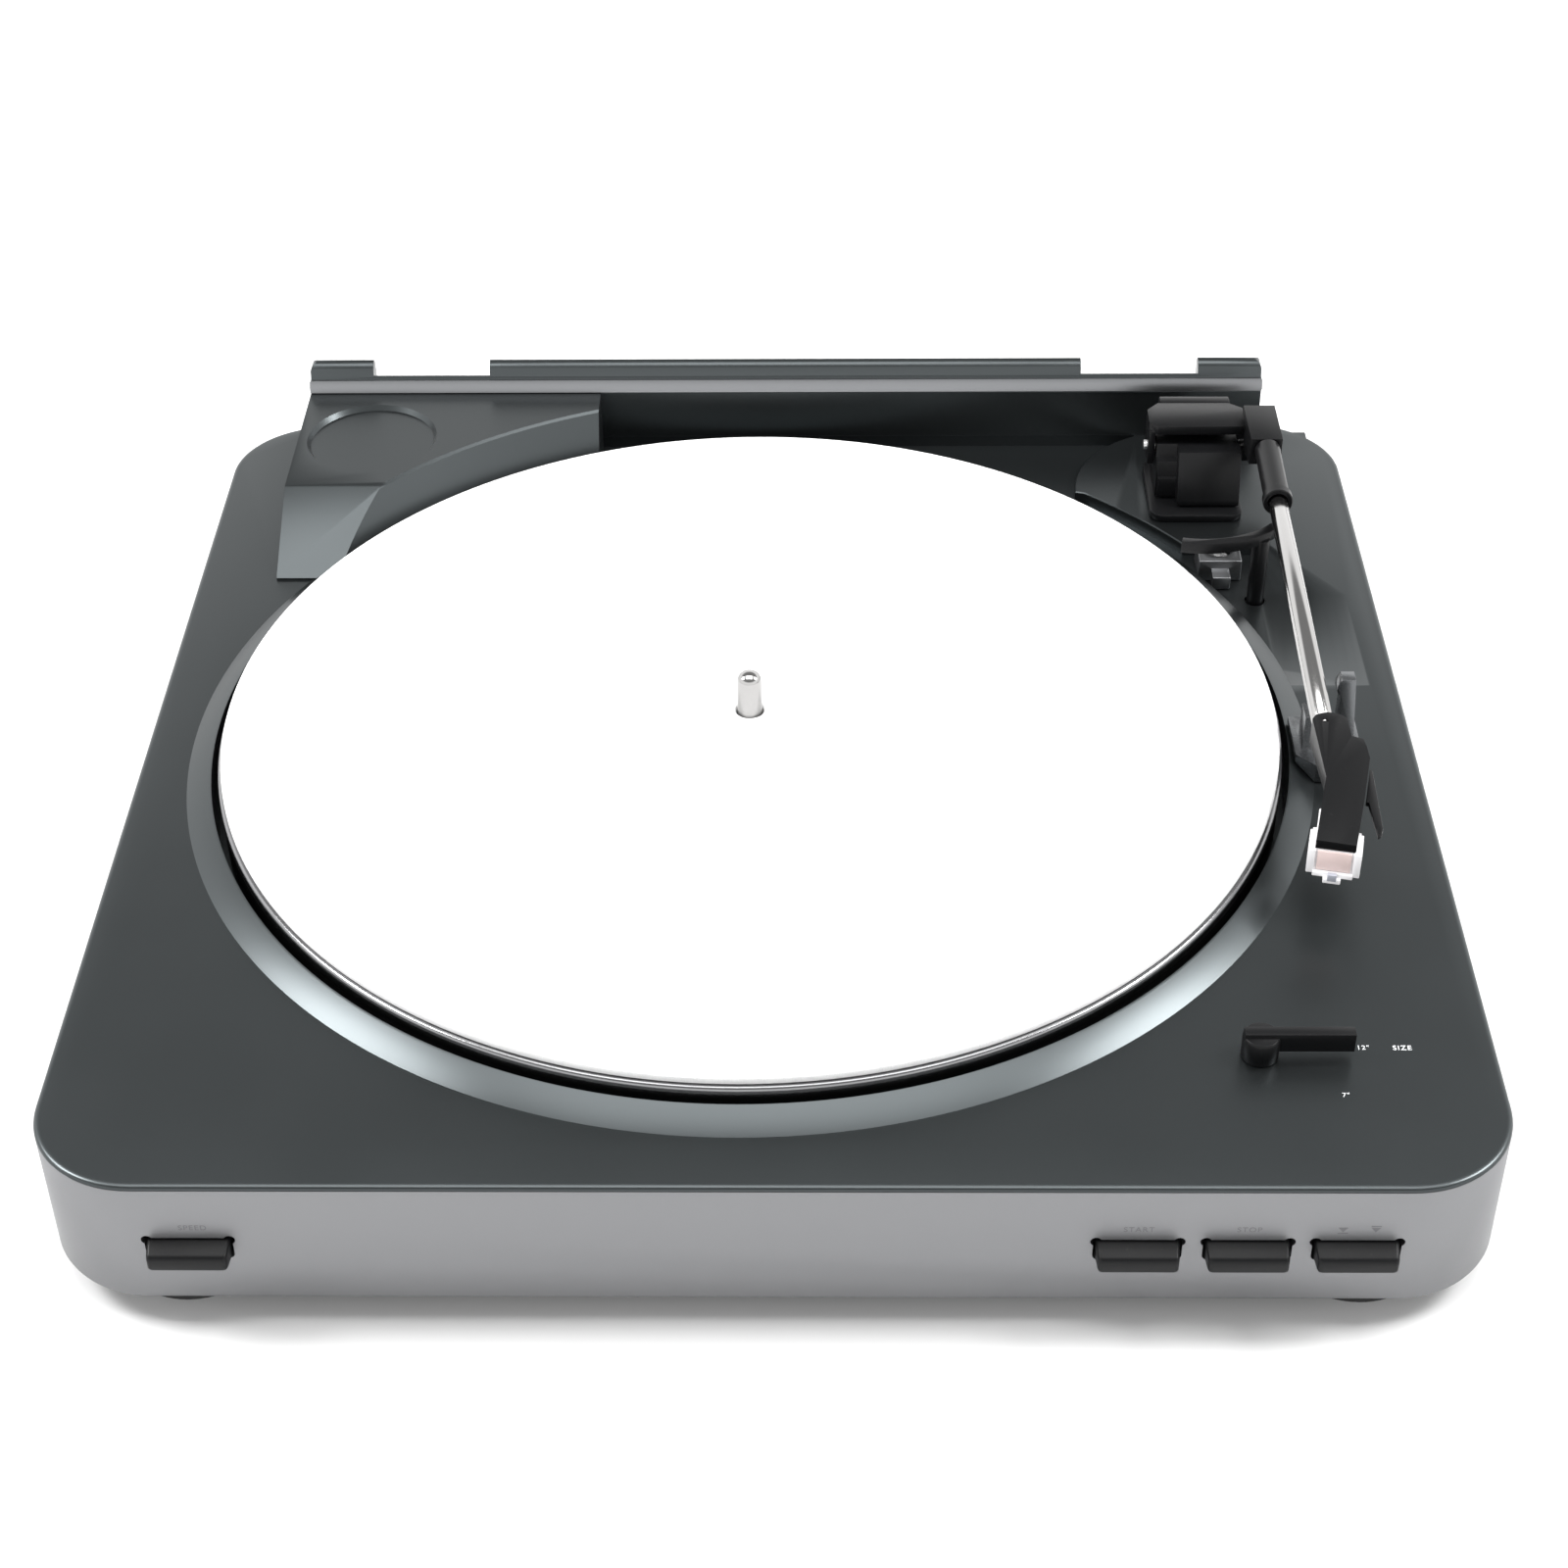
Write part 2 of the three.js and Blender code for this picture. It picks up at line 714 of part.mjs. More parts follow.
// The tangent outline round both wheels, grown by a clearance.
function beltLoop(clear) {
  const big = platter.ringRadius + clear;
  const small = motor.pulley + clear;
  const span = new THREE.Vector2(motor.x, motor.y).sub(platterCentre);
  const heading = span.angle();
  const lean = Math.acos((big - small) / span.length());
  const shape = new THREE.Shape();
  shape.absarc(platterCentre.x, platterCentre.y, big, heading + lean, heading - lean + 2 * Math.PI, false);
  shape.absarc(motor.x, motor.y, small, heading - lean, heading + lean, false);
  return shape;
}

// ---------------------------------------------------------------- tone arm

const armPlateTop = turret.floor - 0.7;

function armBasePlate() {
  const low = cabinet.deckTop + gap;
  const plate = slab(
    roundedOutline(turret.left - 2, platform.front + 4, turret.right + 1, turret.back + 6, 5),
    low,
    armPlateTop,
  );
  return cutBy(plate, post(armAxis.x, armAxis.y, 0, high, armPost.radius + gap));
}

// The bearing tube that the turret's spindle turns in.
function armBearingPost() {
  const tube = joined(
    post(armAxis.x, armAxis.y, deckUnder - 12, armPlateTop, armPost.radius),
    post(armAxis.x, armAxis.y, deckUnder - 4, deckUnder - gap, armPost.radius + 4),
  );
  return cutBy(tube, post(armAxis.x, armAxis.y, 0, high, armPost.bore + runningGap));
}

function armTurret() {
  const body = slab(roundedOutline(turret.left, turret.front, turret.right, turret.back, 1), turret.floor, turret.top);
  const spindleStem = post(armAxis.x, armAxis.y, deckUnder - 14, turret.floor + 1, armPost.bore);
  const bored = cutBy(body, barX(turret.left - 1, turret.right + 1, armAxis.y, armAxis.z, shaft.bore));
  return joined(bored, spindleStem);
}

function pivotShaft() {
  return barX(yoke.left - 1, turret.right + 8, armAxis.y, armAxis.z, shaft.radius);
}

// The bridge over the turret: a top plate, a thin left cheek and the heavy right cheek that holds the arm.
function armYoke() {
  const under = turret.top + yoke.clear;
  const plate = block([yoke.left, turret.front + 5, under], [yoke.right, turret.back + 1, yoke.top]);
  const left = block([yoke.left, armAxis.y - 5, armAxis.z - 4], [turret.left - 0.6, armAxis.y + 5, under + 1]);
  const cheek = [
    [armAxis.y + 2.5, armAxis.z - 2.5],
    [armAxis.y + 2.5, yoke.blockTop],
    [armAxis.y - 19, yoke.blockTop],
    [armAxis.y - 19, yoke.blockTop - 9],
    [armAxis.y - 8, armAxis.z + 2.5],
    [armAxis.y - 6, armAxis.z - 2.5],
  ];
  const right = prismX(cheek, turret.right + 1.2, yoke.right);
  const body = joined(plate, left, right);
  const rod = barX(yoke.left - 2, turret.right + 8.3, armAxis.y, armAxis.z, shaft.radius + gap);
  const socket = barY(armAxis.y - 20, armAxis.y - 12, armLine(armAxis.y - 16), arm.tubeHeight, arm.tubeRadius + 0.4 + gap);
  return cutBy(body, rod, socket);
}

function counterweight() {
  const low = armAxis.z - 9;
  const y0 = turret.back + 1.5;
  const y1 = y0 + 8.5;
  const section = [
    [y0, low],
    [y1 - 2, low],
    [y1, low + 2],
    [y1, yoke.top - 3],
    [y1 - 3, yoke.top],
    [y0, yoke.top],
  ];
  return prismX(section, turret.left + 2, turret.right - 2);
}

// The arm's centre line: its x at a given y.
function armLine(y) {
  return armAxis.x + arm.offset - (armAxis.y - y) * Math.tan(THREE.MathUtils.degToRad(arm.yaw));
}

// A round bar along the arm's centre line between two y values.
function armBar(y0, y1, radius, segments) {
  const yaw = THREE.MathUtils.degToRad(arm.yaw);
  const length = (y1 - y0) / Math.cos(yaw);
  const bar = new THREE.CylinderGeometry(radius, radius, length, segments).rotateZ(-yaw);
  const middle = (y0 + y1) / 2;
  return solid(bar.translate(armLine(middle), middle, arm.tubeHeight));
}

const headJoint = armAxis.y - arm.reach;
const socketFront = armAxis.y - 50;

function armTube() {
  return armBar(headJoint - head.socket, armAxis.y - 13, arm.tubeRadius, 20);
}

function armSleeve() {
  const outer = joined(
    armBar(socketFront + 2, armAxis.y - 19.5, arm.tubeRadius + 1, 24),
    armBar(socketFront, socketFront + 3, arm.tubeRadius + 1.6, 24),
  );
  return cutBy(outer, armBar(socketFront - 5, armAxis.y, arm.tubeRadius + gap, 20));
}

const stylusTip = mat.top + 2;

// A solid made in the head's own frame, with the middle of the front edge at 0, 0 and +Y towards the tube.
function headFrame(body) {
  const at = [armLine(headJoint) - head.side, headJoint - head.length, 0];
  return body.rotate([0, 0, -arm.offsetAngle]).translate(at);
}

// The one-piece headshell: it starts in line with the tube, steps out on the right, then bends inwards.
function headshell() {
  const x = armLine(headJoint);
  const y = headJoint;
  const half = 5.2;
  const lean = THREE.MathUtils.degToRad(arm.offsetAngle);
  const [tipX, tipY] = [x - head.side, y - head.length];
  const plan = polygon([
    [x - 3.4, y - 2.6],
    [x - 1.8, y - 0.6],
    [x + 1, y],
    [x + 4, y - 0.6],
    [x + 6, y - 2.3],
    [x + 6.3, y - 9.2],
    [x + 9.2, y - 10.3],
    [x + 10, y - 17.6],
    [x + 6.6, y - 32.4],
    [tipX + half * Math.cos(lean), tipY - half * Math.sin(lean)],
    [tipX - half * Math.cos(lean), tipY + half * Math.sin(lean)],
    [x - 2.5, y - 24.5],
  ]);
  const profile = [
    [y + 1, head.low - 1],
    [y + 1, head.back],
    [y - head.length, head.front],
    [y - head.length - 5, head.front - 0.5],
    [y - head.length - 5, head.low - 1],
  ];
  const shell = slab(plan, head.low, head.back + 1).intersect(prismX(profile, x - 20, x + 20));
  return cutBy(shell, armBar(y - head.socket - 0.6, y + 10, arm.tubeRadius + gap, 20));
}

function fingerLift() {
  const y = headJoint;
  const x = armLine(headJoint);
  const blade = polygon([
    [x + 10.35, y - 18],
    [x + 7.1, y - 32.1],
    [x + 7.8, y - 32.4],
    [x + 8.2, y - 45.9],
    [x + 9.8, y - 43.6],
    [x + 10.9, y - 19.5],
  ]);
  return slab(blade, head.low + 1.2, head.low + 2.8);
}

function cartridgeBody() {
  const top = head.low - gap;
  const low = top - cartridge.height;
  const box = block([-cartridge.body / 2, 0, low], [cartridge.body / 2, cartridge.depth, top]);
  const ears = block([-cartridge.width / 2, -0.6, low + 0.4], [cartridge.width / 2, cartridge.ears, top]);
  return headFrame(joined(box, ears));
}

function stylusHolder() {
  const top = head.low - cartridge.height - 2 * gap;
  const tab = block([-2.3, -2.4, stylusTip + 0.4], [2.3, 9, top]);
  const tip = post(0, 1, stylusTip, stylusTip + 0.6, 0.3, 8, 0.6);
  return headFrame(joined(tab, tip));
}

// The curved bar that raises the arm, on its post.
function armLifter() {
  const low = lifter.top - lifter.height;
  const from = THREE.MathUtils.degToRad(lifter.from);
  const to = THREE.MathUtils.degToRad(lifter.to);
  const shape = new THREE.Shape();
  shape.absarc(lifter.x, lifter.y, lifter.radius + lifter.width / 2, from, to, false);
  shape.absarc(lifter.x, lifter.y, lifter.radius - lifter.width / 2, to, from, true);
  const bar = slab(shape, low, lifter.top, 10);
  return joined(bar, post(...lifterPostPlace(), deckUnder - 10, low + 1, lifter.post, 20));
}

// The arm rest: a low stand with a short post, a saddle under the tube, and a tall stop on the right.
function armRestStand() {
  const { left, right, back, front, top, chamfer } = armRest;
  const base = slab(
    polygon([
      [left, back],
      [left, front + chamfer],
      [left + chamfer, front],
      [right, front],
      [right, back],
    ]),
    cabinet.deckTop + gap,
    top,
  );
  const lowPost = block([left + 1.8, -11.6, top - 0.5], [left + 6, -4.7, armRest.lowPost]);
  const saddle = block([left + 2.9, -11, armRest.lowPost - 1], [left + 5.6, -5.3, armRest.saddle]);
  const tall = prismTaper();
  return cutBy(joined(base, lowPost, saddle, tall), ringKeepOut());
}

function prismTaper() {
  const low = armRest.top - 0.5;
  const outline = [
    [156, low],
    [161.4, low],
    [159.7, armRest.highPost],
    [156, armRest.highPost],
    [154.9, armRest.highPost - 2],
    [154.9, armRest.highPost - 4],
    [156, armRest.highPost - 5.5],
  ];
  const options = { depth: 4.1, bevelEnabled: false };
  const upright = new THREE.ExtrudeGeometry(polygon(outline), options).rotateX(Math.PI / 2);
  return solid(upright.translate(0, -2.9, 0));
}

// The room taken by the well's raised ring, which the pieces beside it are shaped round.
function ringKeepOut() {
  const outer = ringRadius + 2 * gap;
  return turned(
    platterCentre.x,
    platterCentre.y,
    [
      [0, 0],
      [outer, 0],
      [outer, cabinet.deckTop],
      [wellRadius + 2 * gap, well.lip + gap],
      [0, well.lip + gap],
    ],
    round,
  );
}

// The U-shaped catch in the sunk floor that the transport screw holds.
function transportBracket() {
  const z = recess.floor + gap;
  const walls = block([catchAt.x - 6.5, catchAt.y - 8, z], [catchAt.x + 6.5, catchAt.y + 3.5, z + 7]);
  const hollow = joined(
    post(catchAt.x, catchAt.y - 1, z + 2, z + 20, 4.4, 24),
    block([catchAt.x - 4.4, catchAt.y - 1, z + 2], [catchAt.x + 4.4, catchAt.y + 9, z + 20]),
  );
  const tongue = block([catchAt.x - 2.7, catchAt.y - 13, z], [catchAt.x + 2.7, catchAt.y - 7.9, z + 4.2]);
  return cutBy(joined(walls, tongue), hollow, ringKeepOut());
}

function transportScrew() {
  const z = recess.floor + 2.6;
  return joined(
    post(catchAt.x, catchAt.y - 1, z, z + 1.6, 3.4, 20),
    post(catchAt.x, catchAt.y - 1, z + 1.5, z + 3, 1.6, 16),
  );
}

// ---------------------------------------------------------------- inside the cabinet

const inside = cabinet.bottom + cabinet.floor + gap;

// The rubber block the motor stands on.
function motorCushion() {
  const top = well.floor - coverWall - 2 * gap - motor.shaft - motor.height;
  return slab(roundedOutline(motor.x - 19, motor.y - 19, motor.x + 19, motor.y + 19, 6), inside, top);
}

function circuitBoard() {
  const { left, right, front, back } = board;
  return joined(
    block([left, front, inside + 4], [right, back, inside + 5.6]),
    block([left + 8, front + 8, inside + 5.5], [left + 22, front + 20, inside + 13]),
    block([left + 34, front + 10, inside + 5.5], [left + 46, front + 16, inside + 9]),
  );
}

function transformer() {
  const { left, right, front, back, height } = core;
  return joined(
    block([left, front, inside], [right, back, inside + height]),
    block([left + 8, front - 5, inside + 1], [right - 8, back + 5, inside + height - 1]),
  );
}

// ---------------------------------------------------------------- the player

const player = new THREE.Group();

const parts = [
  ["top_cover", finishes.deck, topCover()],
  ["cabinet_wall", finishes.silver, cabinetWall()],
  ["bottom_plate", finishes.black, bottomPlate()],
  ["rail_trim", finishes.silver, railTrim()],
  ["power_lead_gland", finishes.black, leadGland(rearPlaces.power)],
  ["audio_lead_gland", finishes.black, leadGland(rearPlaces.audio)],
  ["selector_body", finishes.black, selectorBody()],
  ["selector_knob", finishes.black, selectorKnob()],
  ["size_lever", finishes.black, sizeLever()],
  ["platter", finishes.cast, platterDisc()],
  ["felt_mat", finishes.felt, feltMat()],
  ["spindle", finishes.chrome, spindlePin()],
  ["spindle_bush", finishes.brass, spindleBushing()],
  ["hub_pinion", finishes.nylon, hubPinion()],
  ["cam_wheel", finishes.nylon, camWheelDisc()],
  ["cam_wheel_pin", finishes.steel, camWheelPin()],
  ["motor", finishes.steel, motorBody()],
  ["motor_cushion", finishes.rubber, motorCushion()],
  ["motor_pulley", finishes.brass, motorPulley()],
  ["drive_belt", finishes.rubber, driveBelt()],
  ["arm_base_plate", finishes.black, armBasePlate()],
  ["arm_bearing_post", finishes.steel, armBearingPost()],
  ["arm_turret", finishes.black, armTurret()],
  ["pivot_shaft", finishes.steel, pivotShaft()],
  ["arm_yoke", finishes.black, armYoke()],
  ["counterweight", finishes.black, counterweight()],
  ["arm_tube", finishes.chrome, armTube()],
  ["arm_sleeve", finishes.black, armSleeve()],
  ["headshell", finishes.black, headshell()],
  ["finger_lift", finishes.black, fingerLift()],
  ["cartridge", finishes.clear, cartridgeBody()],
  ["stylus", finishes.clear, stylusHolder()],
  ["arm_lifter", finishes.black, armLifter()],
  ["arm_rest", finishes.deck, armRestStand()],
  ["transport_bracket", finishes.deck, transportBracket()],
  ["transport_screw", finishes.steel, transportScrew()],
  ["circuit_board", finishes.board, circuitBoard()],
  ["transformer", finishes.steel, transformer()],
];
for (const [name, material, body] of parts) player.add(piece(name, material, body));

for (const [name, x] of Object.entries(buttonPlaces)) {
  player.add(piece(`${name}_button`, finishes.black, pushButton(x)));
}
for (const [side, x] of [["left", -footing.x], ["right", footing.x]]) {
  for (const [end, y] of [["front", footing.front], ["rear", footing.back]]) {
    player.add(piece(`foot_${end}_${side}`, finishes.rubber, foot(x, y)));
  }
}
screwPlaces().forEach(([x, y], i) => {
  player.add(piece(`cover_screw_${i + 1}`, finishes.steel, coverScrew(x, y)));
});

export default player;
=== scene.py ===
"""Looks for a belt-driven automatic record player: finer pieces, finishes, lettering and a plain studio.

Lengths inside the builders are millimetres, and every mesh is written out in metres in the part's own frame.
"""
import math

import bmesh
import bpy
from bpy.props import FloatProperty, FloatVectorProperty, IntProperty, PointerProperty
from mathutils import Matrix, Vector


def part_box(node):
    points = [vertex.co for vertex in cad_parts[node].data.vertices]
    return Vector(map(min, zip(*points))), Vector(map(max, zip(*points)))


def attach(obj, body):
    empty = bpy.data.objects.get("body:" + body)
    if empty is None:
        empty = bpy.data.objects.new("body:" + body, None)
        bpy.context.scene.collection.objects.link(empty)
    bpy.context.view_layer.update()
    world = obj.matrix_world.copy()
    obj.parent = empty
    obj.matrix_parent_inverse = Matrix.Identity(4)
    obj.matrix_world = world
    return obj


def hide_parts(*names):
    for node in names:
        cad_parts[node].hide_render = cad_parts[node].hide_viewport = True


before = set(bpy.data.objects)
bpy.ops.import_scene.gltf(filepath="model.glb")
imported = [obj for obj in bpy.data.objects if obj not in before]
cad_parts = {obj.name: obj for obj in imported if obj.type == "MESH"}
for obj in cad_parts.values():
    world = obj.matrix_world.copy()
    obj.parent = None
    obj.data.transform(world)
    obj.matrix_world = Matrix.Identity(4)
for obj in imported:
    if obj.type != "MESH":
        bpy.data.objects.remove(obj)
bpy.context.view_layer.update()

bl_info = {
    "name": "Record player looks",
    "version": (1, 0, 0),
    "blender": (4, 5, 0),
    "location": "View3D > Sidebar > Record player",
    "description": "Builds the visible pieces and finishes of a belt-driven record player on its CAD frame",
    "category": "Object",
}

MM = 0.001
HIGH = 120.0
PREFIX = "player_"


# ---------------------------------------------------------------- settings


def colour(name, default, description):
    return FloatVectorProperty(
        name=name, default=default, size=3, min=0.0, max=1.0, subtype="COLOR", description=description
    )


class FinishSettings(bpy.types.PropertyGroup):
    """Base colours of the player's finishes."""

    deck: colour("Deck", (0.054, 0.060, 0.062), "Dark metallic lacquer of the deck")
    wall: colour("Wall", (0.205, 0.207, 0.213), "Silver lacquer of the cabinet wall and the rail strip")
    black: colour("Black", (0.0035, 0.0036, 0.004), "Black mouldings of the arm, buttons and lever")
    felt: colour("Felt", (0.70, 0.70, 0.70), "Wool felt of the mat")
    chrome: colour("Chrome", (0.36, 0.355, 0.35), "Plated tube and spindle")
    cartridge: colour("Cartridge", (0.72, 0.71, 0.72), "Milky plastic of the cartridge")


class ShapeSettings(bpy.types.PropertyGroup):
    """Sizes that set how finely edges and rounds are made."""

    edge: FloatProperty(
        name="Edge round", default=0.35 * MM, min=0.05 * MM, max=1.0 * MM, unit="LENGTH",
        description="Radius put on the moulded edges",
    )
    steps: IntProperty(
        name="Round steps", default=240, min=48, max=360, description="Facets round the platter",
    )
    corner: IntProperty(
        name="Corner steps", default=24, min=6, max=48, description="Facets round a cabinet corner",
    )


class StageSettings(bpy.types.PropertyGroup):
    """Light levels and lens of the studio."""

    lens: FloatProperty(
        name="Lens", default=64.1, min=20.0, max=200.0, description="Focal length in millimetres",
    )
    world: FloatProperty(
        name="World", default=0.45, min=0.0, max=5.0, description="Brightness of the upper surroundings",
    )
    low_sky: FloatProperty(
        name="Low world", default=1.9, min=0.0, max=5.0,
        description="Brightness of the surroundings near the horizon",
    )
    side: FloatProperty(
        name="Side lights", default=18.0, min=0.0, max=400.0, unit="POWER",
        description="Power of each soft box beside the player",
    )
    top: FloatProperty(
        name="Top light", default=16.0, min=0.0, max=400.0, unit="POWER",
        description="Power of the overhead soft box",
    )


# ---------------------------------------------------------------- node groups


def new_group(name, inputs, outputs):
    group = bpy.data.node_groups.new(name, "ShaderNodeTree")
    for label, kind, default in inputs:
        socket = group.interface.new_socket(label, in_out="INPUT", socket_type=kind)
        socket.default_value = default
    for label, kind in outputs:
        group.interface.new_socket(label, in_out="OUTPUT", socket_type=kind)
    return group, group.nodes.new("NodeGroupInput"), group.nodes.new("NodeGroupOutput")


def math_node(tree, operation, a, b):
    node = tree.nodes.new("ShaderNodeMath")
    node.operation = operation
    for socket, value in zip(node.inputs, (a, b)):
        if isinstance(value, (int, float)):
            socket.default_value = value
        else:
            tree.links.new(value, socket)
    return node.outputs[0]


def noise_node(tree, vector, scale, detail=3.0, roughness=0.6):
    node = tree.nodes.new("ShaderNodeTexNoise")
    node.inputs["Detail"].default_value = detail
    node.inputs["Roughness"].default_value = roughness
    tree.links.new(vector, node.inputs["Vector"])
    if isinstance(scale, (int, float)):
        node.inputs["Scale"].default_value = scale
    else:
        tree.links.new(scale, node.inputs["Scale"])
    return node.outputs["Fac"]


def range_node(tree, value, low, high, to_low=0.0, to_high=1.0):
    node = tree.nodes.new("ShaderNodeMapRange")
    for label, number in (("From Min", low), ("From Max", high), ("To Min", to_low), ("To Max", to_high)):
        node.inputs[label].default_value = number
    tree.links.new(value, node.inputs["Value"])
    return node


def scale_node(tree, tint, factor):
    """A colour, given as a socket or as three numbers, times a factor."""
    node = tree.nodes.new("ShaderNodeVectorMath")
    node.operation = "SCALE"
    if isinstance(tint, bpy.types.NodeSocket):
        tree.links.new(tint, node.inputs[0])
    else:
        node.inputs[0].default_value = tint
    tree.links.new(factor, node.inputs["Scale"])
    return node.outputs[0]


def moulded_group():
    """Fine grain, slow tone change and dust for lacquered and moulded surfaces."""
    group, source, out = new_group(
        "Moulded surface",
        [
            ("Vector", "NodeSocketVector", (0, 0, 0)),
            ("Color", "NodeSocketColor", (0.5, 0.5, 0.5, 1)),
            ("Grain scale", "NodeSocketFloat", 2500.0),
            ("Tone amount", "NodeSocketFloat", 0.08),
            ("Dust", "NodeSocketFloat", 0.03),
            ("Roughness", "NodeSocketFloat", 0.4),
            ("Roughness spread", "NodeSocketFloat", 0.06),
        ],
        [("Color", "NodeSocketColor"), ("Roughness", "NodeSocketFloat"), ("Height", "NodeSocketFloat")],
    )
    take = source.outputs
    slow = noise_node(group, take["Vector"], 14.0, 2.0)
    grain = noise_node(group, take["Vector"], take["Grain scale"], 2.0)
    speck = noise_node(group, take["Vector"], 900.0, 1.0)
    centred = math_node(group, "SUBTRACT", slow, 0.5)
    tone = math_node(group, "MULTIPLY", centred, take["Tone amount"])
    tinted = scale_node(group, take["Color"], math_node(group, "ADD", 1.0, tone))
    dusty = math_node(group, "MULTIPLY", range_node(group, speck, 0.70, 0.80).outputs[0], take["Dust"])
    mix = group.nodes.new("ShaderNodeMix")
    mix.data_type = "RGBA"
    factor, first, second = mix.inputs[0], mix.inputs[6], mix.inputs[7]
    group.links.new(dusty, factor)
    group.links.new(tinted, first)
    second.default_value = (0.45, 0.44, 0.42, 1)
    group.links.new(mix.outputs[2], out.inputs["Color"])
    wander = math_node(group, "MULTIPLY", centred, take["Roughness spread"])
    fine = math_node(group, "MULTIPLY", math_node(group, "SUBTRACT", grain, 0.5), take["Roughness spread"])
    rough = math_node(group, "ADD", take["Roughness"], math_node(group, "ADD", wander, fine))
    group.links.new(rough, out.inputs["Roughness"])
    group.links.new(grain, out.inputs["Height"])


def brushed_group():
    """Fine turned or drawn lines for bare metal, with faint wear."""
    group, source, out = new_group(
        "Bare metal",
        [
            ("Vector", "NodeSocketVector", (0, 0, 0)),
            ("Color", "NodeSocketColor", (0.7, 0.7, 0.7, 1)),
            ("Line scale", "NodeSocketFloat", 1200.0),
            ("Roughness", "NodeSocketFloat", 0.15),
        ],
        [("Color", "NodeSocketColor"), ("Roughness", "NodeSocketFloat"), ("Height", "NodeSocketFloat")],
    )
    take = source.outputs
    slow = noise_node(group, take["Vector"], 60.0, 3.0)
    line = noise_node(group, take["Vector"], take["Line scale"], 3.0)
    bright = math_node(group, "ADD", 0.94, math_node(group, "MULTIPLY", slow, 0.12))
    group.links.new(scale_node(group, take["Color"], bright), out.inputs["Color"])
    spread = math_node(group, "MULTIPLY", math_node(group, "SUBTRACT", line, 0.4), 0.12)
    group.links.new(math_node(group, "ADD", take["Roughness"], spread), out.inputs["Roughness"])
    group.links.new(line, out.inputs["Height"])


# ---------------------------------------------------------------- finishes


def finish(name):
    """One of this file's own materials; the prefix keeps it apart from the CAD nodes' materials."""
    return bpy.data.materials[PREFIX + name]


def base_material(name, metallic, bump, bump_distance):
    """A new material, with its tree, its shader, a coordinate node and a bump node on the shader's normal."""
    material = bpy.data.materials.new(PREFIX + name)
    material.use_nodes = True
    tree = material.node_tree
    shader = tree.nodes["Principled BSDF"]
    shader.inputs["Metallic"].default_value = metallic
    place = tree.nodes.new("ShaderNodeTexCoord")
    height = tree.nodes.new("ShaderNodeBump")
    height.inputs["Strength"].default_value = bump
    height.inputs["Distance"].default_value = bump_distance
    tree.links.new(height.outputs["Normal"], shader.inputs["Normal"])
    return material, tree, shader, place, height


def use_group(tree, group, place, values, shader, height):
    node = tree.nodes.new("ShaderNodeGroup")
    node.node_tree = group
    for label, value in values.items():
        node.inputs[label].default_value = value
    tree.links.new(place.outputs["Object"], node.inputs["Vector"])
    tree.links.new(node.outputs["Color"], shader.inputs["Base Color"])
    tree.links.new(node.outputs["Roughness"], shader.inputs["Roughness"])
    tree.links.new(node.outputs["Height"], height.inputs["Height"])


def lacquer(
    name, tint, metallic, roughness, grain=2600.0, bump=0.05, tone=0.06, dust=0.0, coat=0.0, specular=0.5
):
    _, tree, shader, place, height = base_material(name, metallic, bump, 0.05 * MM)
    values = {
        "Color": (*tint, 1.0), "Grain scale": grain, "Tone amount": tone, "Dust": dust,
        "Roughness": roughness, "Roughness spread": 0.07,
    }
    use_group(tree, bpy.data.node_groups["Moulded surface"], place, values, shader, height)
    shader.inputs["Coat Weight"].default_value = coat
    shader.inputs["Specular IOR Level"].default_value = specular
    shader.inputs["Coat Roughness"].default_value = 0.18


def bare_metal(name, tint, roughness, lines=1200.0, bump=0.03):
    _, tree, shader, place, height = base_material(name, 1.0, bump, 0.02 * MM)
    values = {"Color": (*tint, 1.0), "Line scale": lines, "Roughness": roughness}
    use_group(tree, bpy.data.node_groups["Bare metal"], place, values, shader, height)


def felt_material(name, tint):
    """Pressed wool: matted fibres at two sizes and a soft sheen."""
    _, tree, shader, place, height = base_material(name, 0.0, 0.55, 0.35 * MM)
    at = place.outputs["Object"]
    matted = noise_node(tree, at, 420.0, 6.0, 0.7)
    fibre = tree.nodes.new("ShaderNodeTexVoronoi")
    fibre.feature = "DISTANCE_TO_EDGE"
    fibre.inputs["Scale"].default_value = 1500.0
    tree.links.new(at, fibre.inputs["Vector"])
    both = math_node(tree, "ADD", matted, math_node(tree, "MULTIPLY", fibre.outputs["Distance"], 0.8))
    tree.links.new(both, height.inputs["Height"])
    shade = range_node(tree, matted, 0.25, 0.75, 0.93, 1.03)
    tree.links.new(scale_node(tree, tint, shade.outputs[0]), shader.inputs["Base Color"])
    shader.inputs["Roughness"].default_value = 0.95
    shader.inputs["Sheen Weight"].default_value = 0.35
    shader.inputs["Sheen Roughness"].default_value = 0.6
    shader.inputs["Specular IOR Level"].default_value = 0.2


def print_material(name, tint):
    """Pad-printed ink: slightly uneven cover."""
    lacquer(name, tint, 0.0, 0.55, grain=1800.0, bump=0.02, tone=0.2)


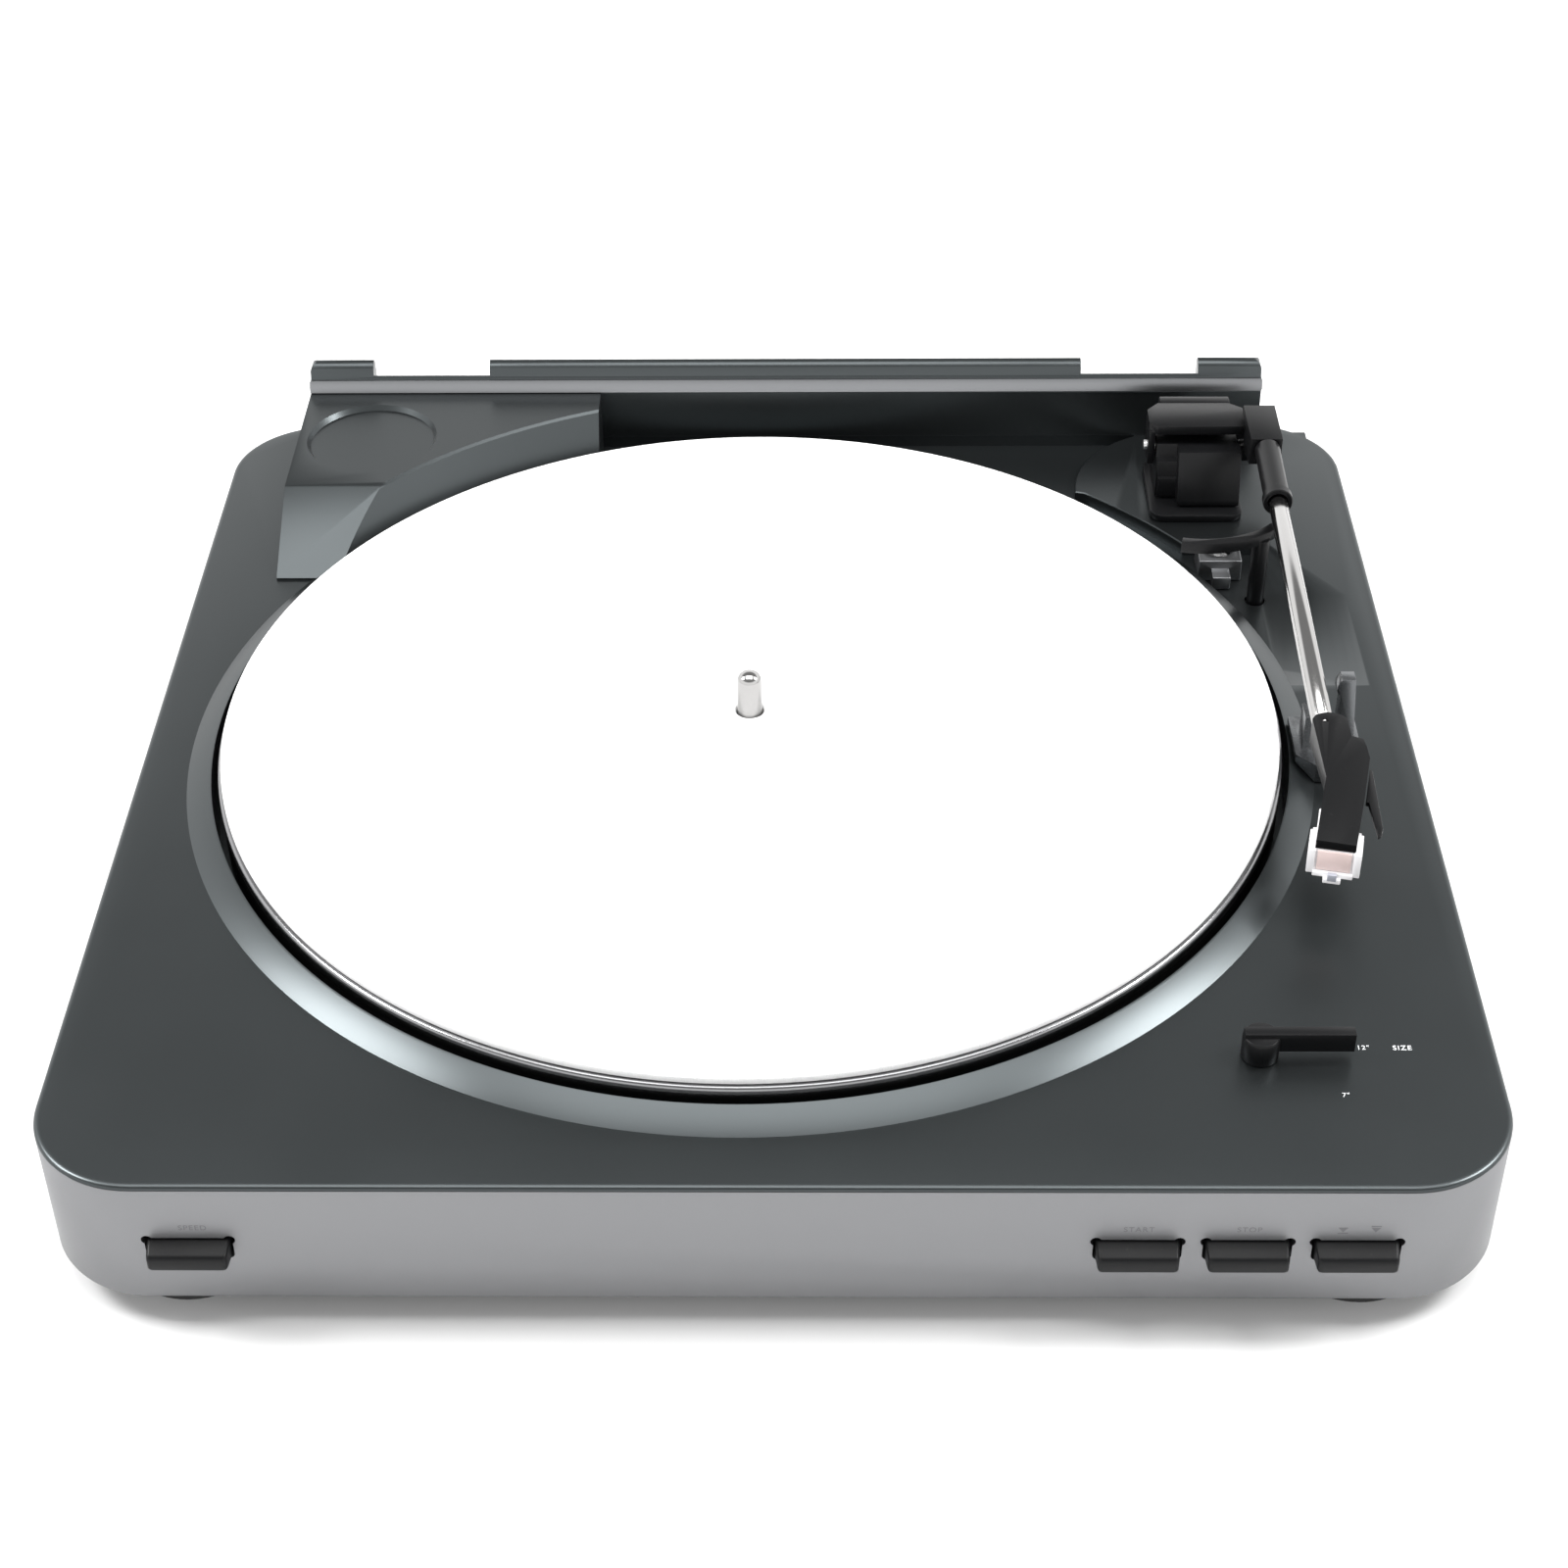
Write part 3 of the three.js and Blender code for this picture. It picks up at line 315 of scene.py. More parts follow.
def make_finishes(settings):
    moulded_group()
    brushed_group()
    lacquer("deck", settings.deck, 0.95, 0.31, bump=0.05, tone=0.05)
    lacquer("silver", settings.wall, 0.9, 0.42, bump=0.10, tone=0.05)
    lacquer("trim", (0.18, 0.184, 0.19), 0.95, 0.30, bump=0.06, tone=0.08)
    lacquer("satin", (0.13, 0.135, 0.14), 0.92, 0.26, bump=0.06, tone=0.08)
    lacquer("black", settings.black, 0.0, 0.34, grain=1500.0, bump=0.08, dust=0.01, specular=0.16)
    lacquer("slot", (0.004, 0.004, 0.004), 0.0, 0.6)
    lacquer("rubber", (0.018, 0.018, 0.018), 0.0, 0.75, grain=900.0, bump=0.25, dust=0.05)
    lacquer("milky", settings.cartridge, 0.0, 0.30, grain=1400.0, bump=0.04, tone=0.08, coat=0.3)
    lacquer("blush", (0.62, 0.50, 0.48), 0.0, 0.34, grain=1400.0, bump=0.04, tone=0.12)
    lacquer("grey", (0.30, 0.31, 0.35), 0.0, 0.3, grain=1400.0, bump=0.04, tone=0.1)
    lacquer("nylon", (0.62, 0.58, 0.48), 0.0, 0.45)
    lacquer("laminate", (0.02, 0.11, 0.045), 0.0, 0.4, grain=700.0, bump=0.15, tone=0.3)
    bare_metal("chrome", settings.chrome, 0.10)
    bare_metal("steel", (0.50, 0.50, 0.50), 0.32, 700.0)
    bare_metal("brass", (0.62, 0.43, 0.16), 0.25)
    bare_metal("cast", (0.52, 0.53, 0.54), 0.30, 500.0)
    bare_metal("turned", (0.22, 0.22, 0.225), 0.20)
    felt_material("felt", settings.felt)
    print_material("ink_light", (0.62, 0.63, 0.64))
    print_material("ink_dark", (0.10, 0.10, 0.105))


# ---------------------------------------------------------------- shapes


def rounded(x0, y0, x1, y1, radius, steps):
    """The corners of a rectangle with round corners, anticlockwise."""
    points = []
    for cx, cy, start in (
        (x1 - radius, y0 + radius, -90), (x1 - radius, y1 - radius, 0),
        (x0 + radius, y1 - radius, 90), (x0 + radius, y0 + radius, 180),
    ):
        for i in range(steps + 1):
            a = math.radians(start + 90 * i / steps)
            points.append((cx + radius * math.cos(a), cy + radius * math.sin(a)))
    return points


def loft(rings):
    """A closed solid through rings of equal count, each a list of (x, y, z), capped at both ends."""
    bm = bmesh.new()
    made = [[bm.verts.new(p) for p in ring] for ring in rings]
    count = len(rings[0])
    for low, high in zip(made, made[1:]):
        for i in range(count):
            j = (i + 1) % count
            bm.faces.new((low[i], low[j], high[j], high[i]))
    bm.faces.new(list(reversed(made[0])))
    bm.faces.new(made[-1])
    bmesh.ops.recalc_face_normals(bm, faces=bm.faces)
    return bm


def prism(outline, z0, z1):
    """An outline of (x, y) points pushed along Z."""
    return loft([[(x, y, z0) for x, y in outline], [(x, y, z1) for x, y in outline]])


def prism_x(section, x0, x1):
    """A section of (y, z) points pushed along X."""
    return loft([[(x0, y, z) for y, z in section], [(x1, y, z) for y, z in section]])


def prism_y(outline, y0, y1):
    """An outline of (x, z) points pushed along Y."""
    return loft([[(x, y0, z) for x, z in outline], [(x, y1, z) for x, z in outline]])


def block(low, high):
    (x0, y0, z0), (x1, y1, z1) = low, high
    return prism([(x0, y0), (x1, y0), (x1, y1), (x0, y1)], z0, z1)


def lathe(x, y, profile, steps):
    """A closed [radius, z] profile turned about the upright axis at x, y; radius 0 closes on the axis."""
    bm = bmesh.new()
    angles = [2 * math.pi * i / steps for i in range(steps)]
    columns = []
    for r, z in profile:
        if r < 1e-6:
            columns.append([bm.verts.new((x, y, z))])
        else:
            columns.append([bm.verts.new((x + r * math.cos(a), y + r * math.sin(a), z)) for a in angles])
    for a, b in zip(columns, columns[1:] + columns[:1]):
        if len(a) == 1 and len(b) == 1:
            continue
        for i in range(steps):
            j = (i + 1) % steps
            corners = [a[i % len(a)], a[j % len(a)], b[j % len(b)], b[i % len(b)]]
            bm.faces.new(dict.fromkeys(corners))
    bmesh.ops.recalc_face_normals(bm, faces=bm.faces)
    return bm


def post(x, y, z0, z1, radius, steps=48, top=None):
    return lathe(x, y, [(0, z0), (radius, z0), (radius if top is None else top, z1), (0, z1)], steps)


def rod(a, b, radius, steps=40, ends=0.0):
    """A round bar between two points, with its end edges eased by a chamfer."""
    start, finish = Vector(a), Vector(b)
    length = (finish - start).length
    e = min(ends, length / 3, radius / 2)
    profile = [(0, 0), (radius - e, 0), (radius, e), (radius, length - e), (radius - e, length), (0, length)]
    bm = lathe(0, 0, profile if e > 0 else [(0, 0), (radius, 0), (radius, length), (0, length)], steps)
    turn = Vector((0, 0, 1)).rotation_difference((finish - start).normalized()).to_matrix().to_4x4()
    bm.transform(Matrix.Translation(start) @ turn)
    return bm


def to_object(name, bm):
    """A bmesh in millimetres becomes an object in metres."""
    bm.transform(Matrix.Scale(MM, 4))
    mesh = bpy.data.meshes.new(name)
    bm.to_mesh(mesh)
    bm.free()
    obj = bpy.data.objects.new(name, mesh)
    bpy.context.scene.collection.objects.link(obj)
    return obj


def as_bmesh(obj):
    """Takes an object's mesh back into a bmesh in millimetres, and removes the object."""
    bm = bmesh.new()
    bm.from_mesh(obj.data)
    bm.transform(Matrix.Scale(1 / MM, 4))
    bpy.data.objects.remove(obj)
    return bm


def settle(obj):
    """Applies the object's modifiers to its mesh."""
    bpy.context.view_layer.update()
    graph = bpy.context.evaluated_depsgraph_get()
    mesh = bpy.data.meshes.new_from_object(obj.evaluated_get(graph), depsgraph=graph)
    old = obj.data
    obj.modifiers.clear()
    obj.data = mesh
    mesh.name = obj.name
    bpy.data.meshes.remove(old)
    return obj


def carve(obj, solids, operation):
    """Joins to, cuts from or keeps the common part with each solid in turn."""
    for bm in solids:
        tool = to_object(f"{obj.name}_tool", bm)
        step = obj.modifiers.new("cut", "BOOLEAN")
        step.operation = operation
        step.solver = "EXACT"
        step.object = tool
        settle(obj)
        bpy.data.objects.remove(tool)
    return obj


def ease(obj, width, segments=2, angle=32.0):
    """Rounds the sharp edges and shades the rest smooth."""
    bm = bmesh.new()
    bm.from_mesh(obj.data)
    bmesh.ops.remove_doubles(bm, verts=bm.verts, dist=2e-6)
    bmesh.ops.dissolve_limit(
        bm, angle_limit=math.radians(0.2), verts=bm.verts, edges=bm.edges, delimit={"NORMAL"}
    )
    bm.to_mesh(obj.data)
    bm.free()
    if width > 0:
        step = obj.modifiers.new("edge", "BEVEL")
        step.width = width
        step.segments = segments
        step.limit_method = "ANGLE"
        step.angle_limit = math.radians(angle)
        step.use_clamp_overlap = True
        step.miter_outer = "MITER_ARC"
        step.harden_normals = False
        settle(obj)
    obj.data.shade_smooth()
    obj.data.set_sharp_from_angle(angle=math.radians(angle))
    return obj


def solid_copy(node):
    """A merged copy of a CAD node's mesh, in millimetres, ready to be rounded."""
    bm = bmesh.new()
    bm.from_mesh(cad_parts[node].data)
    bmesh.ops.remove_doubles(bm, verts=bm.verts, dist=1e-6)
    bmesh.ops.dissolve_limit(bm, angle_limit=math.radians(0.5), verts=bm.verts, edges=bm.edges)
    bm.transform(Matrix.Scale(1 / MM, 4))
    return bm


def paint(obj, material):
    obj.data.materials.clear()
    obj.data.materials.append(finish(material))
    return obj


def hand_over(obj, body, slot, *nodes):
    """Gives a finished piece its body and hides the CAD nodes it stands for; the slot argument is not used.
    """
    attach(obj, body)
    if nodes:
        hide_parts(*nodes)
    return obj


def mm_box(node):
    low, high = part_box(node)
    return low / MM, high / MM


def merged(*solids):
    """Several loose solids in one bmesh, kept as separate closed shells."""
    whole = bmesh.new()
    for bm in solids:
        mesh = bpy.data.meshes.new("part")
        bm.to_mesh(mesh)
        bm.free()
        whole.from_mesh(mesh)
        bpy.data.meshes.remove(mesh)
    return whole


# ---------------------------------------------------------------- layout in millimetres

CABINET = {"half": 180.0, "front": -173.0, "back": 175.0, "corner": 28.0, "top": 47.0, "seam": 45.4}
CENTRE = (-8.0, 2.7)
WELL = {"radius": 151.6, "floor": 33.0, "foot": 158.9, "lip": 51.0}
MAT_RADIUS = 148.4
RAIL = {"half": 156.0, "front": 169.0, "top": 71.5}
SOCKET = {"starts": (97.0, -135.3), "width": 38.3, "front": 172.6, "floor": 53.0, "lip": 67.4}
PLATEAU = {"left": -156.0, "right": -60.5, "front": 83.0, "crest": 112.0, "top": 63.0}
DISH = (-132.3, 140.5)
CHANNEL = {"floor": 43.0, "rise": 4.0, "foot": 41.3, "crest": 27.4, "blend": 146.0, "edge": 172.0}
PLATFORM = {"front": 102.0, "back": 169.0, "bow": 166.0}
CAM_POST = (-70, 62)
LEVER = (121, -127.4)
LIFTER_POST = (144.71, 76.93)
PIVOT = (131.5, 134.5)
TILT_HEIGHT = 63.5
BUTTONS = {"speed": -140.0, "start": 88.2, "stop": 114.5, "lift": 140.6}


# ---------------------------------------------------------------- cabinet


def cabinet_outline(inset, steps):
    """The cabinet's outline seen from above, moved inwards."""
    half, front, back = CABINET["half"], CABINET["front"], CABINET["back"]
    return rounded(-half + inset, front + inset, half - inset, back - inset, CABINET["corner"] - inset, steps)


def cabinet_stack(levels, steps):
    """A solid through the cabinet's outline at each (inset, height)."""
    return loft([[(x, y, z) for x, y in cabinet_outline(inset, steps)] for inset, z in levels])


def cover_core(shape):
    """The deck slab with its eased rim, on the skirt that drops inside the wall."""
    obj = to_object("top_cover_fine", prism(cabinet_outline(2.9, shape.corner), 30.6, 46.6))
    levels = ((0.0, 46.0), (0.05, 46.15), (0.25, 46.5), (0.6, 46.78), (1.0, 46.92), (1.6, CABINET["top"]))
    return carve(obj, [cabinet_stack(levels, shape.corner)], "UNION")


def plateau_solid(shape):
    """The raised rear-left shelf, with its ramp, its round inner wall and the eased lips of both."""
    p = PLATEAU
    top = p["top"]
    section = [
        (p["front"], 40.0), (p["front"], 47.7), (p["front"] + 0.6, 48.1), (p["crest"] - 0.5, top - 0.25),
        (p["crest"] + 0.5, top), (RAIL["front"] + 2, top), (RAIL["front"] + 2, 40.0),
    ]
    obj = to_object("plateau", prism_x(section, p["left"], p["right"]))
    bowl = [(0, 44), (154.4, 44), (155.6, 47), (163.4, 62.4), (164.6, 63.2), (164.6, 70), (0, 70)]
    return carve(obj, [lathe(CENTRE[0] + 5.5, CENTRE[1] + 1.5, bowl, shape.steps)], "DIFFERENCE")


def channel_solid():
    """The sunk strip beside the arm: a straight ramp at its front, a soft rise on its right.

    Near the arm's platform the soft rise narrows, so it ends under the platform without a step.
    """
    c = CHANNEL
    left, bend, back = 100, 74, 120
    under = PLATFORM["front"] + 1
    rings = []
    for u in (0.0, 0.04, 0.12, 0.25, 0.4, 0.55, 0.7, 0.82, 0.92, 0.98, 1.0, HIGH):
        t = min(u, 1.0)
        rise = 3 * t * t - 2 * t ** 3
        z = u if u == HIGH else c["floor"] + c["rise"] * rise
        right = c["blend"] + (c["edge"] - c["blend"]) * t
        narrow = c["blend"] + 5.0 * t
        front = c["foot"] + (c["crest"] - c["foot"]) * rise
        outline = (left, front), (right, front), (right, bend), (narrow, under), (narrow, back), (left, back)
        rings.append([(x, y, z) for x, y in outline])
    return loft(rings)


def platform_solid():
    """The flat table the arm stands on, round on its left and hollowed where the record passes."""
    cx, cy = CENTRE
    front, back, bow = PLATFORM["front"], PLATFORM["back"], PLATFORM["bow"]
    right = CHANNEL["edge"]
    points = [(right, front), (cx + math.sqrt(bow ** 2 - (front - cy) ** 2), front)]
    for degrees in range(38, 52):
        a = math.radians(degrees)
        points.append((cx + bow * math.cos(a), cy + bow * math.sin(a)))
    for degrees in range(180, 112, -4):
        a = math.radians(degrees)
        points.append((PIVOT[0] + 38 * math.cos(a), 132.5 + 38 * math.sin(a)))
    points += [(116.7, back), (right, back)]
    rings = []
    for inset, z in ((0.0, 40.5), (0.0, 46.5), (0.12, 46.8), (0.5, 47.0)):
        step = inset * 0.7
        rings.append([(x + (step if x < 150 else 0), y + (step if y < 150 else 0), z) for x, y in points])
    return loft(rings)


def rail_solid():
    """The hinge rail: a wall up to the silver strip, a rounded back, and two sockets open to the rear."""
    low = CABINET["seam"]
    section = [
        (167.5, low), (168.7, 62.6), (169.3, 63.4), (171.1, 66.4), (171.7, 67.6), (172.6, 69.9),
        (173.3, 70.8), (174.3, 71.35), (175.5, RAIL["top"]), (176.6, 71.0), (177.5, 69.9), (178.0, 68.2),
        (178.0, 50.6), (177.6, 50.0), (172.1, 47.0), (172.1, low),
    ]
    half = RAIL["half"]
    obj = to_object("rail", prism_x(section, -half, half))
    tools = []
    for start in SOCKET["starts"]:
        end = start + SOCKET["width"]
        tools.append(block((start, SOCKET["front"], SOCKET["floor"]), (end, 185, HIGH)))
        tools.append(block((start, 160.0, SOCKET["lip"]), (end, 185, HIGH)))
    carve(obj, tools, "DIFFERENCE")
    carve(obj, [prism_y(rounded(-half, 30.0, half, RAIL["top"], 2.6, 8), 160.0, 185.0)], "INTERSECT")
    return ease(obj, 0.3 * MM, 2, 50)


def ring_solid(shape):
    """The raised ring round the well: a straight slope, a fine rolled lip and the well's wall."""
    w = WELL
    profile = [
        (w["radius"] - 6, 40.0), (w["foot"], 40.0), (w["foot"], CABINET["top"]), (152.9, 50.45),
        (152.2, 50.85), (w["radius"], w["lip"]), (w["radius"] - 6, w["lip"]),
    ]
    return lathe(*CENTRE, profile, shape.steps)


def hollow_under(shape):
    """What is left out below the deck, round the outside of the well."""
    obj = to_object("hollow", prism(cabinet_outline(5.3, shape.corner), 20.0, 40.6))
    carve(obj, [post(*CENTRE, 10, 60, 154.0, shape.steps)], "DIFFERENCE")
    return as_bmesh(obj)


def cover_holes():
    """Holes for the spindle, cam wheel, arm post, lever, cam pin and lifter, and the round dish."""
    low, high = mm_box("cam_wheel_pin")
    pin = (low + high) / 2
    places = (
        (CENTRE, 6.3), (CAM_POST, 7.1), (PIVOT, 6.3), (LEVER, 2.9), ((pin.x, pin.y), 2.3), (LIFTER_POST, 3.1),
    )
    holes = [post(*place, 20, HIGH, radius) for place, radius in places]
    dish = lathe(*DISH, [(0, 61.5), (19.6, 61.5), (20.7, 63.0), (20.7, 70.0), (0, 70.0)], 128)
    return [*holes[:4], dish, *holes[4:]]


class PLAYER_OT_cover(bpy.types.Operator):
    """Builds the deck, plateau, ring, well, channel and hinge rail as one moulding"""

    bl_idname = "player.cover"
    bl_label = "Top cover"

    def execute(self, context):
        shape = context.scene.player_shape
        obj = cover_core(shape)
        carve(obj, [as_bmesh(plateau_solid(shape))], "UNION")
        behind = block((PLATEAU["right"], 40, CHANNEL["floor"]), (CHANNEL["blend"], 167.5, HIGH))
        carve(obj, [behind, channel_solid()], "DIFFERENCE")
        carve(obj, [platform_solid(), as_bmesh(rail_solid()), ring_solid(shape)], "UNION")
        well = post(*CENTRE, WELL["floor"], HIGH, WELL["radius"], shape.steps)
        carve(obj, [well, hollow_under(shape), *cover_holes()], "DIFFERENCE")
        ease(obj, 0.0, angle=28)
        hand_over(paint(obj, "deck"), "cabinet", "deck", "top_cover")
        return {"FINISHED"}


class PLAYER_OT_wall(bpy.types.Operator):
    """Builds the silver wall with its button slots and rear openings"""

    bl_idname = "player.wall"
    bl_label = "Cabinet wall"

    def execute(self, context):
        shape = context.scene.player_shape
        front, back = CABINET["front"], CABINET["back"]
        levels = ((2.0, 8.0), (1.0, 8.15), (0.35, 8.6), (0.0, 9.6), (0.0, 45.4), (0.12, 45.68), (0.4, 45.8))
        obj = to_object("cabinet_wall_fine", cabinet_stack(levels, shape.corner))
        tools = [prism(cabinet_outline(2.6, shape.corner), 5, 60)]
        for x in BUTTONS.values():
            hole = rounded(x - 10.7, 22.7, x + 10.7, 29.7, 1.6, 6)
            tools.append(prism_y(hole, front - 5, front + 6))
            for notch in (x - 10.0, x + 10.0):
                tools.append(rod((notch, front - 5, 29.0), (notch, front + 6, 29.0), 1.4, 24))
        for x in (-130.0, 118.0):
            tools.append(rod((x, back - 6, 22.0), (x, back + 3, 22.0), 6.8, 40))
        tools.append(block((73.5, back - 6, 19.0), (86.5, back + 3, 25.0)))
        carve(obj, tools, "DIFFERENCE")
        ease(obj, 0.0, angle=28)
        hand_over(paint(obj, "silver"), "cabinet", "silver", "cabinet_wall")
        return {"FINISHED"}


class PLAYER_OT_rail_strip(bpy.types.Operator):
    """Builds the bright strip along the rail"""

    bl_idname = "player.rail_strip"
    bl_label = "Rail strip"

    def execute(self, context):
        section = [
            (168.2, 63.3), (168.55, 63.15), (168.95, 63.4), (171.15, 66.05), (171.2, 66.45), (170.9, 66.75),
            (169.8, 66.9), (168.6, 65.0),
        ]
        half = RAIL["half"] + 0.25
        rings = []
        for x, shrink in ((-half, 0.75), (-half + 0.25, 1.0), (half - 0.25, 1.0), (half, 0.75)):
            rings.append([(x, 169.8 + (y - 169.8) * shrink, 65.0 + (z - 65.0) * shrink) for y, z in section])
        obj = ease(to_object("rail_strip_fine", loft(rings)), 0.0, angle=40)
        hand_over(paint(obj, "trim"), "cabinet", "silver", "rail_trim")
        return {"FINISHED"}


# ---------------------------------------------------------------- platter


class PLAYER_OT_platter(bpy.types.Operator):
    """Builds the turned platter, its felt mat and the spindle"""

    bl_idname = "player.platter"
    bl_label = "Platter, mat and spindle"

    def execute(self, context):
        steps = context.scene.player_shape.steps
        rim = [
            (4.05, 54.0), (4.05, 37.2), (4.3, 37.0), (11.6, 37.0), (12.0, 37.4), (12.0, 49.8),
            (13.0, 50.5), (54.5, 50.5), (54.5, 38.3), (54.8, 38.0), (57.2, 38.0), (57.5, 38.3),
            (57.5, 50.5), (144.7, 50.5), (145.5, 49.7), (145.5, 38.4), (145.9, 38.0), (149.0, 38.0),
            (149.3, 38.3), (149.3, 49.2), (149.1, 49.5), (149.1, 50.2), (149.5, 50.5), (149.5, 53.1),
            (149.3, 53.6), (148.7, 54.0),
        ]
        obj = ease(to_object("platter_fine", lathe(*CENTRE, rim, steps)), 0.0, angle=40)
        hand_over(paint(obj, "turned"), "platter_set", "cast", "platter")
        self.make_mat(steps)
        self.make_spindle()
        return {"FINISHED"}

    def make_mat(self, steps):
        """A pressed felt disc with a soft edge and a hole that clears the spindle."""
        outline = [
            (3.95, 54.5), (4.2, 54.3), (147.9, 54.3), (148.25, 54.5), (MAT_RADIUS, 55.0), (MAT_RADIUS, 56.1),
            (148.2, 56.65), (147.7, 56.95), (146.8, 57.0),
        ]
        across = [(146.8 - 4.0 * i, 57.0) for i in range(1, 36)]
        closing = [(4.5, 57.0), (4.1, 56.8), (3.9, 56.4)]
        obj = to_object("felt_mat_fine", lathe(*CENTRE, outline + across + closing, steps))
        obj.data.shade_smooth()
        paint(obj, "felt")
        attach(obj, "platter_set")
        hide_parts("felt_mat")

    def make_spindle(self):
        """The record pin: a plated cylinder with a small shoulder under its rounded top."""
        r = 3.55
        dome = []
        for degrees in range(10, 90, 8):
            a = math.radians(degrees)
            dome.append((r * 0.99 * math.cos(a), 67.1 + 2.9 * math.sin(a)))
        profile = [(0, 21.0), (r, 21.0), (r, 66.5), (r * 0.985, 66.9), *dome, (0, 70.0)]
        obj = ease(to_object("spindle_fine", lathe(*CENTRE, profile, 96)), 0.0, angle=50)
        hand_over(paint(obj, "chrome"), "cabinet", "chrome", "spindle")


# ---------------------------------------------------------------- arm


HEAD_BACK = PIVOT[1] - 160.0
HEAD_LEAN = math.radians(12)
HEAD_TIP = (2.9, 48.7)


def arm_x(y):
    """Where the arm's centre line crosses y, seen from above."""
    return 150.7 - (PIVOT[1] - y) * math.tan(math.radians(1.0))


def on_arm(y):
    return (arm_x(y), y, 73.4)


class PLAYER_OT_arm_base(bpy.types.Operator):
    """Builds the arm's base plate and its swivelling turret"""

    bl_idname = "player.arm_base"
    bl_label = "Arm base and turret"

    def execute(self, context):
        edge = context.scene.player_shape.edge
        plate = prism(rounded(116, 114.5, 145, 148, 4, 8), 47.3, 49.5)
        obj = carve(to_object("arm_base_fine", plate), [post(*PIVOT, 40, 60, 6.3)], "DIFFERENCE")
        ease(obj, edge)
        hand_over(paint(obj, "black"), "cabinet", "black", "arm_base_plate")
        face = [(142.0, 50.2), (142.0, 67.0), (123.6, 67.0), (119.2, 52.0), (119.2, 50.2)]
        body = to_object("arm_turret_fine", prism_x(face, 124.5, 144.0))
        side = block((118.0, 125.5, 50.2), (125.0, 142.0, 62.5))
        step = block((118.6, 124.6, 50.2), (125.0, 140.0, 57.0))
        lug = block((118.0, 129.0, 60.0), (125.0, 141.0, 67.0))
        carve(body, [side, step, lug, post(*PIVOT, 30.6, 51.0, 3.6)], "UNION")
        bore = rod((117, PIVOT[1], TILT_HEIGHT), (145, PIVOT[1], TILT_HEIGHT), 2.0, 32)
        carve(body, [bore], "DIFFERENCE")
        ease(body, edge)
        hand_over(paint(body, "black"), "turret", "black", "arm_turret")
        return {"FINISHED"}


class PLAYER_OT_arm_yoke(bpy.types.Operator):
    """Builds the bridge over the turret, with its cheeks and the rear weight"""

    bl_idname = "player.arm_yoke"
    bl_label = "Arm yoke and weight"

    def execute(self, context):
        edge = context.scene.player_shape.edge
        roof = [
            (118, 128.5), (144.5, 128.5), (145.5, 134), (145.5, 140), (141.5, 143), (119, 143), (115.4, 139),
            (115.4, 131),
        ]
        obj = to_object("arm_yoke_fine", prism(roof, 70.6, 73.6))
        cheek = block((115.4, 129.5, 59.5), (117.4, 139.5, 71.2))
        side = [(137, 61), (137, 75.8), (136, 76.8), (115.5, 76.8), (115.5, 67.8), (126.5, 66), (128.5, 61)]
        arm_block = prism_x(side, 145.2, 155.0)
        carve(obj, [cheek, arm_block, block((143.0, 129.5, 68.4), (147.0, 137.0, 73.4))], "UNION")
        bore = rod((110, PIVOT[1], TILT_HEIGHT), (152.3, PIVOT[1], TILT_HEIGHT), 1.8, 32)
        carve(obj, [bore, rod(on_arm(114.0), on_arm(122.5), 3.3, 40)], "DIFFERENCE")
        ease(obj, edge)
        hand_over(paint(obj, "black"), "arm", "black", "arm_yoke")
        weight = [
            (143.0, 54.5), (147.6, 54.5), (148.6, 55), (149.2, 56.5), (149.2, 70.4), (148.7, 72.2),
            (147.6, 73.3), (146, 73.6), (143.0, 73.6),
        ]
        rear = ease(to_object("counterweight_fine", prism_x(weight, 120, 142)), edge)
        hand_over(paint(rear, "black"), "arm", "black", "counterweight")
        return {"FINISHED"}


class PLAYER_OT_arm_tube(bpy.types.Operator):
    """Builds the plated arm tube and the black sleeve round its root"""

    bl_idname = "player.arm_tube"
    bl_label = "Arm tube"

    def execute(self, context):
        tube = rod(on_arm(HEAD_BACK - 3), on_arm(121.5), 2.9, 64, 0.2)
        obj = ease(to_object("arm_tube_fine", tube), 0.0, angle=50)
        hand_over(paint(obj, "chrome"), "arm", "chrome", "arm_tube")
        sleeve = to_object("arm_sleeve_fine", rod(on_arm(86.5), on_arm(115.0), 3.9, 64, 0.3))
        carve(sleeve, [rod(on_arm(84.5), on_arm(87.8), 4.5, 64, 0.3)], "UNION")
        carve(sleeve, [rod(on_arm(80.0), on_arm(118.0), 3.1, 48)], "DIFFERENCE")
        ease(sleeve, 0.0, angle=40)
        hand_over(paint(sleeve, "black"), "arm", "black", "arm_sleeve")
        return {"FINISHED"}


def head_frame(bm):
    """Moves a solid made with the middle of the head's front edge at 0, 0 into place."""
    at = Matrix.Translation((arm_x(HEAD_BACK) - HEAD_TIP[0], HEAD_BACK - HEAD_TIP[1], 0))
    bm.transform(at @ Matrix.Rotation(-HEAD_LEAN, 4, "Z"))
    return bm


